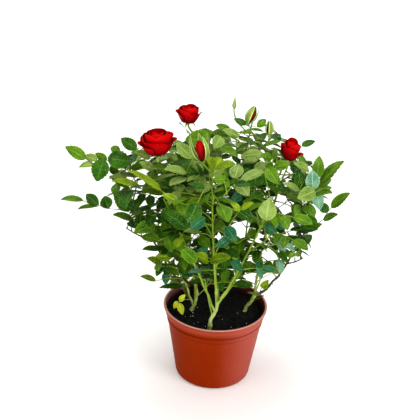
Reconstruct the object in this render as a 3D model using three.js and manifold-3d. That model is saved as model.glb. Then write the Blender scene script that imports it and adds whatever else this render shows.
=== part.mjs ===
// A miniature rose bush in a round plastic nursery pot, in millimetres, +Z up.
// The origin is the middle of the pot's flat underside, and the front of the bush faces -Y.
// Four stems stand in the potting soil. Each forks into boughs, and each bough carries one
// mass of foliage, whose twigs and leaves are placed by a seeded rule.
import * as THREE from "three";
import { mergeVertices } from "three/addons/utils/BufferGeometryUtils.js";
import Module from "manifold-3d";

const wasm = await Module();
wasm.setup();

// Driving dimensions of the pot and its filling.
const pot = {
  height: 98,
  rimRadius: 65,
  lipHeight: 2.6,
  lipOverhang: 1.1,
  collarHeight: 15,
  collarRadius: 60.9,
  bandHeight: 6,
  stepDepth: 1.0,
  footRadius: 47.8,
  cornerRadius: 6,
  wall: 1.6,
  floor: 2.2,
  drainCount: 5,
  drainRadius: 4,
  drainRing: 33,
  channelWidth: 11,
  channelDepth: 1.2,
  channelStart: 25,
  sides: 28,
};
const soil = { top: 86, clearance: 0.3, sides: 20 };
const gap = 0.3; // clear space between two neighbouring solids
const shortestEdge = 0.04; // scraps of surface smaller than this are smoothed away

// Stems: foot and top as bearing in degrees, reach from the pot's axis, and height.
const stems = [
  { name: "front_stem", foot: [-99, 41], top: [-86, 38, 121], thick: 3.2, thin: 2.6 },
  { name: "left_stem", foot: [176, 30], top: [168, 23, 107], thick: 3.0, thin: 2.4 },
  { name: "right_stem", foot: [10, 38], top: [6, 49, 109], thick: 2.9, thin: 2.3 },
  { name: "back_stem", foot: [86, 36], top: [93, 40, 117], thick: 3.0, thin: 2.5 },
];
const rootFlare = { growth: 0.35, height: 7, sunk: 3 };

// Each cane is one curve from its fork to its tip. bend says how much of the way out and of
// the way up the middle of the curve has gone, and entry where the foliage begins on it.
const canes = [
  { name: "far_left", stem: 1, at: 0.45, tip: [-175, 128, 290], bend: [0.55, 0.42],
    entry: 0.34, thick: 2.1, turn: 200, shoots: 2, seed: 11 },
  { name: "left_top", stem: 1, at: 0.97, tip: [-158, 78, 300], bend: [0.4, 0.5],
    entry: 0.17, thick: 2.0, turn: 60, shoots: 3, seed: 12 },
  { name: "left_low", stem: 1, at: 0.3, tip: [-163, 70, 172], bend: [0.3, 0.65],
    entry: 0.4, thick: 1.5, turn: 150, shoots: 1, seed: 13 },
  { name: "front_centre", stem: 0, at: 0.97, tip: [-101, 60, 300], bend: [0.75, 0.5],
    entry: 0.15, thick: 2.3, turn: 10, shoots: 3, seed: 14 },
  { name: "front_right", stem: 0, at: 0.95, tip: [-44, 80, 272], bend: [0.55, 0.4],
    entry: 0.22, thick: 2.2, turn: 250, shoots: 3, seed: 15 },
  { name: "front_left", stem: 0, at: 0.7, tip: [-140, 84, 262], bend: [0.45, 0.5],
    entry: 0.26, thick: 1.8, turn: 120, shoots: 3, seed: 16 },
  { name: "right_top", stem: 2, at: 0.97, tip: [6, 78, 290], bend: [0.1, 0.55],
    entry: 0.18, thick: 1.9, turn: 300, shoots: 3, seed: 17 },
  { name: "far_right", stem: 2, at: 0.8, tip: [3, 104, 248], bend: [0.92, 0.3],
    entry: 0.34, thick: 2.0, turn: 290, shoots: 3, seed: 18 },
  { name: "centre_top", stem: 3, at: 0.97, tip: [148, 44, 314], bend: [0.5, 0.5],
    entry: 0.15, thick: 2.1, turn: 45, shoots: 3, seed: 19 },
  { name: "back_top", stem: 3, at: 0.9, tip: [60, 66, 322], bend: [0.5, 0.5],
    entry: 0.15, thick: 2.0, turn: 80, shoots: 3, seed: 20 },
  { name: "back_left", stem: 3, at: 0.75, tip: [128, 112, 290], bend: [0.5, 0.42],
    entry: 0.24, thick: 1.9, turn: 30, shoots: 3, seed: 21 },
  { name: "back_right", stem: 3, at: 0.6, tip: [42, 112, 280], bend: [0.55, 0.4],
    entry: 0.24, thick: 1.9, turn: 100, shoots: 3, seed: 22 },
];
const cane = { thin: 1.0, boughSides: 6, boughRings: 2, spineSides: 5, spineRings: 5 };

// Leaves that stand out in the outline or hang alone, set before the rest: which cane, how far
// along it, bearing and rise of the leaf, its size, and its pairs of leaflets.
const markLeaves = [
  { cane: 0, at: 0.95, bearing: 184, rise: 25, size: 0.86, pairs: 2 },
  { cane: 0, at: 0.96, bearing: 60, rise: 40, size: 0.72, pairs: 1 },
  { cane: 0, at: 0.79, bearing: 184, rise: 4, size: 0.92, pairs: 3 },
  { cane: 0, at: 0.68, bearing: 238, rise: -4, size: 0.72, pairs: 2 },
  { cane: 0, at: 0.42, bearing: 252, rise: 0, size: 0.6, pairs: 2 },
  { cane: 2, at: 0.5, bearing: 196, rise: 4, size: 0.6, pairs: 2 },
  { cane: 7, at: 0.96, bearing: -3, rise: 24, size: 0.74, pairs: 2 },
  { cane: 7, at: 0.99, bearing: 4, rise: 56, size: 0.76, pairs: 2 },
  { cane: 7, at: 0.9, bearing: 70, rise: 60, size: 0.9, pairs: 1 },
  { cane: 7, at: 0.8, bearing: -38, rise: -2, size: 0.62, pairs: 2 },
  { cane: 7, at: 0.37, bearing: -62, rise: 10, size: 0.6, pairs: 2 },
  { cane: 6, at: 0.97, bearing: 20, rise: 25, size: 0.72, pairs: 1 },
  { cane: 3, at: 0.72, bearing: 192, rise: 14, size: 1.12, pairs: 3 },
  { cane: 3, at: 0.97, bearing: -48, rise: 6, size: 0.85, pairs: 1 },
  { cane: 3, at: 0.28, bearing: -70, rise: -4, size: 0.9, pairs: 1 },
  { cane: 4, at: 0.97, bearing: -60, rise: 20, size: 1.1, pairs: 1 },
  { cane: 9, at: 0.97, bearing: 195, rise: 4, size: 0.9, pairs: 1 },
  { cane: 9, at: 0.985, bearing: -95, rise: -10, size: 0.9, pairs: 1 },
  { cane: 8, at: 0.97, bearing: -60, rise: 4, size: 1.0, pairs: 1 },
  { cane: 8, at: 0.93, bearing: 20, rise: 14, size: 1.0, pairs: 2 },
  { cane: 9, at: 0.9, bearing: -60, rise: 8, size: 1.0, pairs: 1 },
  { cane: 6, at: 0.9, bearing: 150, rise: 30, size: 1.0, pairs: 1 },
  { cane: 0, at: 0.88, bearing: 30, rise: 10, size: 1.0, pairs: 2 },
  { cane: 1, at: 0.9, bearing: 170, rise: 8, size: 1.0, pairs: 2 },
  { cane: 0, at: 0.75, bearing: 110, rise: 18, size: 0.9, pairs: 1 },
  { cane: 0, at: 0.6, bearing: 170, rise: 6, size: 0.85, pairs: 1 },
  { cane: 8, at: 0.25, bearing: 215, rise: -5, size: 0.9, pairs: 1 },
  { cane: 10, at: 0.26, bearing: 200, rise: -8, size: 0.9, pairs: 1 },
  { cane: 7, at: 0.5, bearing: 150, rise: 20, size: 0.9, pairs: 1 },
];

// The crown's reach at each height, from a line a little to the right of the pot's axis:
// nothing but the leaves above grows out past it.
const crownMiddle = 8;
const envelope = [
  [100, 58], [148, 86], [180, 100], [205, 113], [232, 134], [247, 168], [270, 152], [290, 130],
  [305, 112], [325, 72],
];
// Open places in the crown: the line down the middle of each, and a radius.
const openings = [
  { from: [-150, -14, 262], to: [-150, -14, 262], radius: 22 },
  { from: [150, -4, 276], to: [150, -4, 276], radius: 12 },
  { from: [26, -90, 250], to: [34, 140, 115], radius: 9 },
];

// The foliage rule.
const foliage = {
  nodeSpacing: 22,
  divergence: 137.5,
  leafAngle: 54,
  lightward: [0, -0.55, 1],
  outward: 0.006,
  toss: 0.5,
  shootAngle: 44,
  shootLength: 44,
  shootRise: 0.6,
  shootRadius: 1.1,
  reachOver: 14,
  lowest: 106,
  clearOfLimb: 1.4,
  clearOfLeaf: 4.8,
  tries: 6,
  tryTurn: 47,
  fewestLeaflets: 3,
};
const leaf = {
  petiole: 14,
  step: 14.5,
  droop: 0.14,
  leafletLength: 31,
  leafletWidth: 0.6,
  fold: 0.075,
  spread: 74,
  closing: 10,
  stalkRadius: 0.85,
  sizes: [0.62, 0.73, 0.85, 1.0],
  jointHalf: 0.6,
};

// Blooms and buds: the cane that carries each and how far along, the place of its middle,
// its form, its size, and how it leans to the right in degrees.
const blooms = [
  { name: "bloom_left", cane: 1, from: 1, at: [-75, -30, 318], form: "open",
    width: 43, height: 25, lean: -4 },
  { name: "bloom_centre", cane: 8, from: 1, at: [-43, 25, 336], form: "cup",
    width: 29, height: 21, lean: 3 },
  { name: "bloom_right", cane: 6, from: 1, at: [78, 10, 303], form: "cup",
    width: 22, height: 25, lean: 12 },
  { name: "bud_front", cane: 3, from: 1, at: [-25, -60, 325], form: "opening",
    width: 12, height: 27, lean: -10 },
  { name: "bud_back_large", cane: 9, from: 1, at: [30, 45, 332], form: "bud",
    width: 13, height: 22, lean: 16 },
  { name: "bud_back_small", cane: 9, from: 0.82, at: [52, 25, 324], form: "bud",
    width: 8, height: 17, lean: -3 },
  { name: "bud_top", cane: 9, from: 0.92, at: [10, 70, 337], form: "bud",
    width: 5.4, height: 15, lean: 2 },
];
const stalk = { foot: 1.2, neck: 1.0, sides: 5, rings: 3 };
const sepals = {
  halfWidth: 1.6,
  opening: { outward: 0.5, length: 0.85 },
  cup: { outward: 1.4, length: 0.62 },
  open: { outward: 1.6, length: 0.72 },
};

// The small pale sprig that hangs over the soil from the low left bough.
const sprig = { cane: 2, at: 0.1, bearing: 196, rise: -24, size: 0.46, pairs: 1 };

const leafGreen = new THREE.MeshStandardMaterial({ color: 0x4b7a2b, roughness: 0.55 });
const paleGreen = new THREE.MeshStandardMaterial({ color: 0xb4c832, roughness: 0.55 });
const stemGreen = new THREE.MeshStandardMaterial({ color: 0x8aa850, roughness: 0.6 });
const petalRed = new THREE.MeshStandardMaterial({ color: 0xc00008, roughness: 0.6 });
const budGreen = new THREE.MeshStandardMaterial({ color: 0x86a53c, roughness: 0.6 });
const terracotta = new THREE.MeshStandardMaterial({ color: 0xa63c1e, roughness: 0.45 });
const peat = new THREE.MeshStandardMaterial({ color: 0x17130f, roughness: 0.95 });

const radians = THREE.MathUtils.degToRad;
const upward = new THREE.Vector3(0, 0, 1);

// A point from its bearing, reach and height.
function polar([bearing, reach, height = 0]) {
  const angle = radians(bearing);
  return new THREE.Vector3(reach * Math.cos(angle), reach * Math.sin(angle), height);
}

// Random numbers from 0 to 1 that are the same on every run.
function seeded(seed) {
  let state = seed >>> 0;
  const draw = () => {
    state = (Math.imul(state, 1664525) + 1013904223) >>> 0;
    return state / 4294967296;
  };
  for (let i = 0; i < 8; i++) draw();
  return draw;
}

// A closed triangle mesh as a solid.
function solidOf(geometry) {
  const bare = geometry.index ? geometry.toNonIndexed() : geometry.clone();
  for (const name of Object.keys(bare.attributes)) {
    if (name !== "position") bare.deleteAttribute(name);
  }
  const merged = mergeVertices(bare, 1e-4);
  return new wasm.Manifold(
    new wasm.Mesh({
      numProp: 3,
      vertProperties: merged.attributes.position.array,
      triVerts: new Uint32Array(merged.index.array),
    }),
  );
}

// Points and triangles as a solid.
function solidFrom(points, triangles) {
  const array = new Float32Array(points.flatMap((p) => [p.x, p.y, p.z]));
  const geometry = new THREE.BufferGeometry();
  geometry.setAttribute("position", new THREE.BufferAttribute(array, 3));
  geometry.setIndex(triangles.flat());
  return solidOf(geometry);
}

function geometryOf(solid) {
  const mesh = largest(solid.asOriginal().simplify(shortestEdge)).getMesh();
  const geometry = new THREE.BufferGeometry();
  const array = new Float32Array(mesh.vertProperties);
  geometry.setAttribute("position", new THREE.BufferAttribute(array, 3));
  geometry.setIndex(new THREE.BufferAttribute(new Uint32Array(mesh.triVerts), 1));
  return geometry;
}

// The largest of the bodies that a cut has left.
function largest(solid) {
  const bodies = solid.decompose();
  bodies.sort((a, b) => b.volume() - a.volume());
  return bodies[0];
}

function union(solids) {
  return wasm.Manifold.union(solids);
}

// A round tube along a curve from t0 to t1, with its own radius at each place.
function tube(curve, t0, t1, radiusAt, sides, rings, rounded = false) {
  const points = [];
  const triangles = [];
  const chord = curve.getPoint(t1).sub(curve.getPoint(t0));
  const side = new THREE.Vector3().crossVectors(chord, upward);
  if (side.length() < 0.05 * chord.length()) side.set(0, 1, 0);
  side.normalize();
  const ring = (t, scale, shift) => {
    const tangent = curve.getTangent(Math.min(t, 1));
    const u = side.clone().addScaledVector(tangent, -side.dot(tangent)).normalize();
    const v = new THREE.Vector3().crossVectors(tangent, u);
    const middle = curve.getPoint(t).addScaledVector(tangent, shift);
    for (let j = 0; j < sides; j++) {
      const angle = (2 * Math.PI * j) / sides;
      const radius = radiusAt(t) * scale;
      points.push(
        middle.clone()
          .addScaledVector(u, radius * Math.cos(angle))
          .addScaledVector(v, radius * Math.sin(angle)),
      );
    }
    return middle;
  };
  for (let i = 0; i <= rings; i++) ring(t0 + ((t1 - t0) * i) / rings, 1, 0);
  let loops = rings + 1;
  let endMiddle = curve.getPoint(t1);
  if (rounded) {
    ring(t1, 0.72, radiusAt(t1) * 0.55);
    endMiddle = curve.getPoint(t1).addScaledVector(curve.getTangent(t1), radiusAt(t1) * 0.8);
    loops += 1;
  }
  for (let i = 0; i < loops - 1; i++) {
    for (let j = 0; j < sides; j++) {
      const a = i * sides + j;
      const b = i * sides + ((j + 1) % sides);
      triangles.push([a, b, b + sides], [a, b + sides, a + sides]);
    }
  }
  const start = points.push(curve.getPoint(t0)) - 1;
  const end = points.push(endMiddle) - 1;
  for (let j = 0; j < sides; j++) {
    const next = (j + 1) % sides;
    const last = (loops - 1) * sides;
    triangles.push([start, next, j], [end, last + j, last + next]);
  }
  return solidFrom(points, triangles);
}

// The pot's outline from the middle of its underside, out and up, and down the inside.
function potProfile() {
  const { height, rimRadius, lipHeight, lipOverhang, collarRadius, wall, floor } = pot;
  const collarFoot = height - pot.collarHeight;
  const bandFoot = collarFoot - pot.bandHeight;
  const wallTop = collarRadius - 0.9 - pot.stepDepth;
  const corner = pot.cornerRadius;
  const profile = [new THREE.Vector2(0, 0)];
  for (let i = 0; i <= 3; i++) {
    const angle = (Math.PI / 2) * (i / 3);
    profile.push(
      new THREE.Vector2(
        pot.footRadius - corner + corner * Math.sin(angle),
        corner - corner * Math.cos(angle),
      ),
    );
  }
  profile.push(
    new THREE.Vector2(wallTop, bandFoot - 1.2),
    new THREE.Vector2(wallTop + pot.stepDepth, bandFoot),
    new THREE.Vector2(collarRadius, collarFoot - 0.6),
    new THREE.Vector2(collarRadius - 0.6, collarFoot + 0.2),
    new THREE.Vector2(collarRadius + 0.1, collarFoot + 1),
    new THREE.Vector2(collarRadius + 1.7, height - 8.5),
    new THREE.Vector2(rimRadius - lipOverhang, height - lipHeight),
    new THREE.Vector2(rimRadius, height - lipHeight + 0.7),
    new THREE.Vector2(rimRadius - 0.2, height),
    new THREE.Vector2(rimRadius - lipOverhang - wall, height),
    new THREE.Vector2(collarRadius + 1.7 - wall, height - 9.5),
    new THREE.Vector2(collarRadius - 0.4 - wall, collarFoot),
    new THREE.Vector2(wallTop - wall, bandFoot - 1.6),
    new THREE.Vector2(pot.footRadius - wall - 0.4, corner),
    new THREE.Vector2(pot.footRadius - corner, floor),
    new THREE.Vector2(0, floor),
  );
  return profile;
}

// A lathe turns about Y, so it is stood up along Z.
function turned(profile, sides) {
  return new THREE.LatheGeometry(profile, sides).rotateX(Math.PI / 2);
}

function potSolid() {
  const cuts = [];
  for (let i = 0; i < pot.drainCount; i++) {
    const bearing = (360 * (i + 0.5)) / pot.drainCount;
    const hole = new THREE.CylinderGeometry(pot.drainRadius, pot.drainRadius, 8, 10);
    hole.rotateX(Math.PI / 2);
    const place = polar([bearing, pot.drainRing, 0]);
    hole.translate(place.x, place.y, 0);
    cuts.push(solidOf(hole));
    const length = pot.footRadius + 4 - pot.channelStart;
    const channel = new THREE.BoxGeometry(length, pot.channelWidth, 2 * pot.channelDepth);
    channel.translate(pot.channelStart + length / 2, 0, 0).rotateZ(radians(bearing));
    cuts.push(solidOf(channel));
  }
  return solidOf(turned(potProfile(), pot.sides)).subtract(union(cuts));
}

function soilSolid() {
  const c = soil.clearance;
  const inside = pot.footRadius - pot.wall - 0.4;
  const collarFoot = pot.height - pot.collarHeight;
  const bandFoot = collarFoot - pot.bandHeight;
  const wallTop = pot.collarRadius - 0.9 - pot.stepDepth - pot.wall;
  const profile = [
    new THREE.Vector2(0, pot.floor + c),
    new THREE.Vector2(pot.footRadius - pot.cornerRadius - 2 * c, pot.floor + c),
    new THREE.Vector2(inside - 2 * c, pot.cornerRadius),
    new THREE.Vector2(wallTop - 2 * c, bandFoot - 1.6),
    new THREE.Vector2(pot.collarRadius - 0.4 - pot.wall - 2 * c, collarFoot),
    new THREE.Vector2(pot.collarRadius + 0.2 - pot.wall - 2 * c, soil.top),
    new THREE.Vector2(0, soil.top),
  ];
  return solidOf(turned(profile, soil.sides));
}

// Stems and canes as curves.
const stemCurves = stems.map((s) => {
  const foot = polar([...s.foot, soil.top - rootFlare.sunk]);
  const top = polar(s.top);
  const middle = foot.clone().lerp(top, 0.5);
  middle.x = foot.x + (top.x - foot.x) * 0.35;
  middle.y = foot.y + (top.y - foot.y) * 0.35;
  return new THREE.QuadraticBezierCurve3(foot, middle, top);
});

const caneCurves = canes.map((c) => {
  const foot = stemCurves[c.stem].getPoint(c.at);
  const tip = polar(c.tip);
  const [out, rise] = c.bend;
  const middle = new THREE.Vector3(
    foot.x + (tip.x - foot.x) * out,
    foot.y + (tip.y - foot.y) * out,
    foot.z + (tip.z - foot.z) * rise,
  );
  return new THREE.QuadraticBezierCurve3(foot, middle, tip);
});

function stemRadius(s, length) {
  return (t) => {
    const flare = 1 + rootFlare.growth * Math.exp((-t * length) / rootFlare.height);
    return (s.thick + (s.thin - s.thick) * t) * flare;
  };
}

function caneRadius(c) {
  return (t) => c.thick + (cane.thin - c.thick) * t;
}

// Places along every limb, for the rule's clearance test.
const limbPlaces = [];
canes.forEach((c, i) => {
  for (let k = 0; k <= 40; k++) {
    limbPlaces.push({ at: caneCurves[i].getPoint(k / 40), radius: caneRadius(c)(k / 40) });
  }
});

// Finished solids with the boxes round them. A twig's owner is its mass, and nothing else has one.
const taken = [];

function take(solid, owner = null) {
  taken.push({ solid, box: solid.boundingBox(), owner });
}

function boxesNear(a, b, margin) {
  return [0, 1, 2].every((k) => a.min[k] < b.max[k] + margin && b.min[k] < a.max[k] + margin);
}

// Whether a solid keeps clear of everything but its own mass's twigs.
function keepsClear(solid, owner) {
  const box = solid.boundingBox();
  return taken.every(
    (t) => t.owner === owner || !boxesNear(t.box, box, 2 * gap)
      || t.solid.minGap(solid, 2 * gap) > gap,
  );
}

// Side shoots of a cane: where each leaves it and where it ends.
function sideShoots(index) {
  const c = canes[index];
  const curve = caneCurves[index];
  const draw = seeded(c.seed);
  const shoots = [];
  for (let k = 0; k < c.shoots; k++) {
    const share = c.entry + 0.06 + (0.84 - c.entry) * ((k + 0.4) / c.shoots);
    const bearing = c.turn + foliage.divergence * k + 30 * (draw() - 0.5);
    const length = foliage.shootLength * (0.85 + 0.35 * draw());
    const foot = curve.getPoint(share);
    const tangent = curve.getTangent(share);
    const heading = leaning(tangent, bearing, foliage.shootAngle + 12 * (draw() - 0.5));
    const middle = foot.clone().addScaledVector(heading, length * 0.5);
    const raised = heading.clone().addScaledVector(upward, foliage.shootRise).normalize();
    const end = middle.clone().addScaledVector(raised, length * 0.5);
    shoots.push(new THREE.QuadraticBezierCurve3(foot, middle, end));
  }
  return shoots;
}

// A direction that leans from a twig's own towards a bearing.
function leaning(tangent, bearing, degrees) {
  const outward = polar([bearing, 1]);
  const away = outward.addScaledVector(tangent, -outward.dot(tangent)).normalize();
  const angle = radians(degrees);
  return tangent.clone().multiplyScalar(Math.cos(angle)).addScaledVector(away, Math.sin(angle));
}

// The places along a mass's own twigs that mark out its space.
function spaceOf(index, shoots) {
  const c = canes[index];
  const places = [];
  for (let k = 0; k <= 10; k++) {
    places.push(caneCurves[index].getPoint(c.entry + ((1 - c.entry) * k) / 10));
  }
  for (const shoot of shoots) {
    for (let k = 1; k <= 4; k++) places.push(shoot.getPoint(k / 4));
  }
  return places;
}

function nearest(places, point) {
  return Math.min(...places.map((p) => p.distanceTo(point)));
}

// One leaflet: six points in the outline of its blade, folded a little along the midrib.
function leaflet(base, heading, face, length) {
  const half = (length * leaf.leafletWidth) / 2;
  const across = new THREE.Vector3().crossVectors(heading, face).normalize();
  const lift = leaf.fold * length;
  const place = (along, out, up) =>
    base.clone()
      .addScaledVector(heading, along * length)
      .addScaledVector(across, out * half)
      .addScaledVector(face, up * lift);
  const root = place(-0.5 / length, 0, 0);
  const edge = [
    place(0.26, -0.86, 0.9), place(0.68, -0.84, 0.8),
    place(0.68, 0.84, 0.8), place(0.26, 0.86, 0.9),
  ];
  const tip = place(1, 0, -0.6);
  const spots = [place(0.25, 0, 0.2), place(0.5, 0, 0.2), place(0.75, 0, 0.2), tip, ...edge];
  return { root, edge, tip, middle: spots[1], spots };
}

// The way the upper side of a leaf looks: up, to the light, and the further out the leaf is,
// the more it looks out from the crown.
function facing(foot, [tossX, tossY] = [0, 0]) {
  const out = new THREE.Vector3(foot.x, foot.y, 0).multiplyScalar(foliage.outward);
  return new THREE.Vector3(...foliage.lightward).add(out).add(new THREE.Vector3(tossX, tossY, 0));
}

// One compound leaf: a stalk with pairs of leaflets and one more at its end.
function compoundLeaf(foot, heading, face, size, pairs) {
  const joints = [foot.clone()];
  const leaflets = [];
  const ahead = heading.clone().normalize();
  let at = foot.clone();
  for (let k = 0; k <= pairs; k++) {
    at = at.clone().addScaledVector(ahead, (k ? leaf.step : leaf.petiole) * size);
    joints.push(at);
    const up = face.clone().addScaledVector(ahead, -face.dot(ahead)).normalize();
    const across = new THREE.Vector3().crossVectors(ahead, up);
    const length = leaf.leafletLength * leaf.sizes[leaf.sizes.length - 1 - pairs + k] * size;
    if (k === pairs) {
      leaflets.push({ ...leaflet(at, ahead.clone(), up, length), joint: k, hand: 0 });
      break;
    }
    const spread = radians(leaf.spread - leaf.closing * k);
    for (const hand of [-1, 1]) {
      const way = ahead.clone().multiplyScalar(Math.cos(spread));
      way.addScaledVector(across, hand * Math.sin(spread)).addScaledVector(up, -0.12).normalize();
      const top = up.clone().addScaledVector(way, -up.dot(way)).normalize();
      leaflets.push({ ...leaflet(at, way, top, length), joint: k, hand });
    }
    ahead.addScaledVector(upward, -leaf.droop).normalize();
  }
  return { joints, leaflets, face };
}

// A solid from its points and faces, turned inside out where that is needed.
function facingOut(points, triangles) {
  const solid = solidFrom(points, triangles);
  return solid.volume() > 0 ? solid : solidFrom(points, triangles.map(([a, b, c]) => [a, c, b]));
}

function leafletSolid({ root, edge, tip }) {
  const triangles = [
    [0, 2, 5], [0, 1, 2], [0, 5, 3], [0, 3, 4],
    [0, 4, 1], [1, 3, 2], [1, 4, 3], [2, 3, 5],
  ];
  return facingOut([root, ...edge, tip], triangles);
}

// A compound leaf as one closed surface: a three-sided stalk, with a leaflet drawn out of each
// side of its joints and one out of its end.
function leafSolid({ joints, leaflets, face }) {
  const points = [];
  const triangles = [];
  const add = (list, turned) => {
    for (const [a, b, c] of list) triangles.push(turned ? [a, c, b] : [a, b, c]);
  };
  const ring = (i, shift) => {
    const ahead = joints[Math.min(i + 1, joints.length - 1)].clone().sub(joints[Math.max(i - 1, 0)]);
    ahead.normalize();
    const side = new THREE.Vector3().crossVectors(ahead, face).normalize();
    const up = new THREE.Vector3().crossVectors(side, ahead);
    const radius = leaf.stalkRadius * (1.15 - (0.3 * i) / joints.length);
    const middle = joints[i].clone().addScaledVector(ahead, shift);
    const first = points.length;
    points.push(
      middle.clone().addScaledVector(up, radius),
      middle.clone().addScaledVector(side, -0.87 * radius).addScaledVector(up, -0.5 * radius),
      middle.clone().addScaledVector(side, 0.87 * radius).addScaledVector(up, -0.5 * radius),
    );
    return [first, first + 1, first + 2];
  };
  const wall = ([t0, l0, r0], [t1, l1, r1], openLeft, openRight) => {
    if (!openLeft) add([[t0, t1, l1], [t0, l1, l0]]);
    if (!openRight) add([[t0, r1, t1], [t0, r0, r1]]);
    add([[l0, l1, r1], [l0, r1, r0]]);
  };
  // The outline's corners run near, far, far, near on a leaflet to the left of its stalk.
  const corners = (l) => {
    const edge = l.hand > 0 ? [...l.edge].reverse() : l.edge;
    const first = points.length;
    points.push(...edge, l.tip);
    return [0, 1, 2, 3, 4].map((k) => first + k);
  };
  const sideBlade = (l, [t0, ...low0], [t1, ...low1]) => {
    const [e0, e1, e2, e3, tip] = corners(l);
    const b0 = low0[l.hand > 0 ? 1 : 0];
    const b1 = low1[l.hand > 0 ? 1 : 0];
    add(
      [
        [t0, t1, e3], [t0, e3, e0], [e0, e3, e2], [e0, e2, e1], [e1, e2, tip],
        [b0, e0, e1], [b0, e1, tip], [b0, tip, b1], [b1, tip, e2], [b1, e2, e3],
        [t0, e0, b0], [t1, b1, e3],
      ],
      l.hand > 0,
    );
  };
  const endBlade = (l, [t, b0, b1]) => {
    const [e0, e1, e2, e3, tip] = corners(l);
    add([
      [t, e3, e0], [e0, e3, e2], [e0, e2, e1], [e1, e2, tip],
      [b0, e0, e1], [b0, e1, tip], [b0, tip, b1], [b1, tip, e2], [b1, e2, e3],
      [t, e0, b0], [t, b1, e3],
    ]);
  };
  let before = ring(0, 0);
  add([before]);
  for (let k = 1; k < joints.length - 1; k++) {
    const near = ring(k, -leaf.jointHalf);
    const far = ring(k, leaf.jointHalf);
    const here = leaflets.filter((l) => l.joint === k - 1);
    wall(before, near);
    wall(near, far, here.some((l) => l.hand < 0), here.some((l) => l.hand > 0));
    for (const l of here) sideBlade(l, near, far);
    before = far;
  }
  const end = ring(joints.length - 1, 0);
  const last = leaflets.find((l) => l.hand === 0);
  wall(before, end);
  if (last) endBlade(last, end);
  else add([[end[0], end[2], end[1]]]);
  return solidFrom(points, triangles);
}

function reachAt(height) {
  const k = envelope.findIndex(([z]) => z > height);
  if (k <= 0) return k < 0 ? 0 : envelope[0][1];
  const [[z0, r0], [z1, r1]] = [envelope[k - 1], envelope[k]];
  return r0 + ((r1 - r0) * (height - z0)) / (z1 - z0);
}

function distanceToLine(point, { from, to }) {
  const line = new THREE.Line3(new THREE.Vector3(...from), new THREE.Vector3(...to));
  if (line.distanceSq() === 0) return point.distanceTo(line.start);
  return line.closestPointToPoint(point, true, new THREE.Vector3()).distanceTo(point);
}

const spotsTaken = [];

// The cheap tests: above the rim, within the crown, clear of limbs and of other blades.
function hasRoom(l, marked) {
  const outline = [l.tip, ...l.edge];
  if (outline.some((p) => p.z < foliage.lowest)) return false;
  const outside = (p) =>
    Math.hypot(p.x - crownMiddle, p.y) > reachAt(p.z)
    || openings.some((o) => distanceToLine(p, o) < o.radius);
  if (!marked && outline.some(outside)) return false;
  if (limbPlaces.some((p) => l.spots.some((s) => s.distanceTo(p.at) < p.radius + foliage.clearOfLimb)))
    return false;
  return spotsTaken.every((p) => l.spots.every((s) => s.distanceTo(p) > foliage.clearOfLeaf));
}

// Sets a leaf if its stalk and enough of its leaflets have room.
function setLeaf(index, foot, heading, face, size, pairs, marked = false) {
  const { joints, leaflets } = compoundLeaf(foot, heading, face, size, pairs);
  const bare = leafSolid({ joints, leaflets: [], face });
  if (!keepsClear(bare, index)) return null;
  const found = leaflets.filter((l) => hasRoom(l, marked) && keepsClear(leafletSolid(l), index));
  if (found.length < (marked ? 1 : foliage.fewestLeaflets)) return null;
  for (const l of found) spotsTaken.push(...l.spots);
  const solid = leafSolid({ joints, leaflets: found, face });
  take(solid);
  return solid;
}

// The leaves of one twig, by turns round it. Each tries a few bearings.
function leavesAlong(index, curve, from, to, turn, draw) {
  const length = curve.getLength() * (to - from);
  const count = Math.max(2, Math.round(length / foliage.nodeSpacing));
  const solids = [];
  for (let k = 0; k < count; k++) {
    const share = from + ((to - from) * (k + 0.6)) / count;
    const bearing = turn + foliage.divergence * k + 24 * (draw() - 0.5);
    const lean = foliage.leafAngle + 16 * (draw() - 0.5);
    const size = 0.86 + 0.24 * draw();
    const pairs = draw() > 0.2 ? 2 : 1;
    const toss = [foliage.toss * (draw() - 0.5), foliage.toss * (draw() - 0.5)];
    const foot = curve.getPoint(share);
    const tangent = curve.getTangent(share);
    for (let n = 0; n < foliage.tries; n++) {
      const heading = leaning(tangent, bearing + n * foliage.tryTurn, lean);
      heading.z *= 0.6;
      const middle = foot.clone().addScaledVector(heading, 2 * leaf.petiole);
      const own = nearest(spaces[index], middle) - foliage.reachOver;
      if (spaces.some((places, i) => i !== index && nearest(places, middle) < own)) continue;
      const found = setLeaf(index, foot, heading, facing(foot, toss), size, pairs);
      if (!found) continue;
      solids.push(found);
      break;
    }
  }
  return solids;
}

// The outline of a bloom from its foot to its middle, as shares of its width and height.
const forms = {
  open: {
    sides: 15, lobes: 5, wave: 0.07,
    outline: [[0.13, 0], [0.6, 0.16], [0.9, 0.45], [0.98, 0.78], [1, 0.95], [0.8, 0.9], [0.45, 1], [0, 0.97]],
  },
  cup: {
    sides: 10, lobes: 5, wave: 0.06,
    outline: [[0.16, 0], [0.62, 0.2], [0.94, 0.55], [1, 0.88], [0.82, 1], [0.45, 0.96], [0, 1]],
  },
  opening: {
    sides: 8, lobes: 2, wave: 0.04,
    outline: [[0.3, 0], [0.62, 0.16], [0.98, 0.42], [0.86, 0.8], [0.4, 1], [0, 0.98]],
  },
  bud: {
    sides: 7, lobes: 0, wave: 0,
    outline: [[0.3, 0], [0.72, 0.12], [0.62, 0.2], [1, 0.42], [0.72, 0.74], [0.18, 1], [0, 1]],
  },
};

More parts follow.
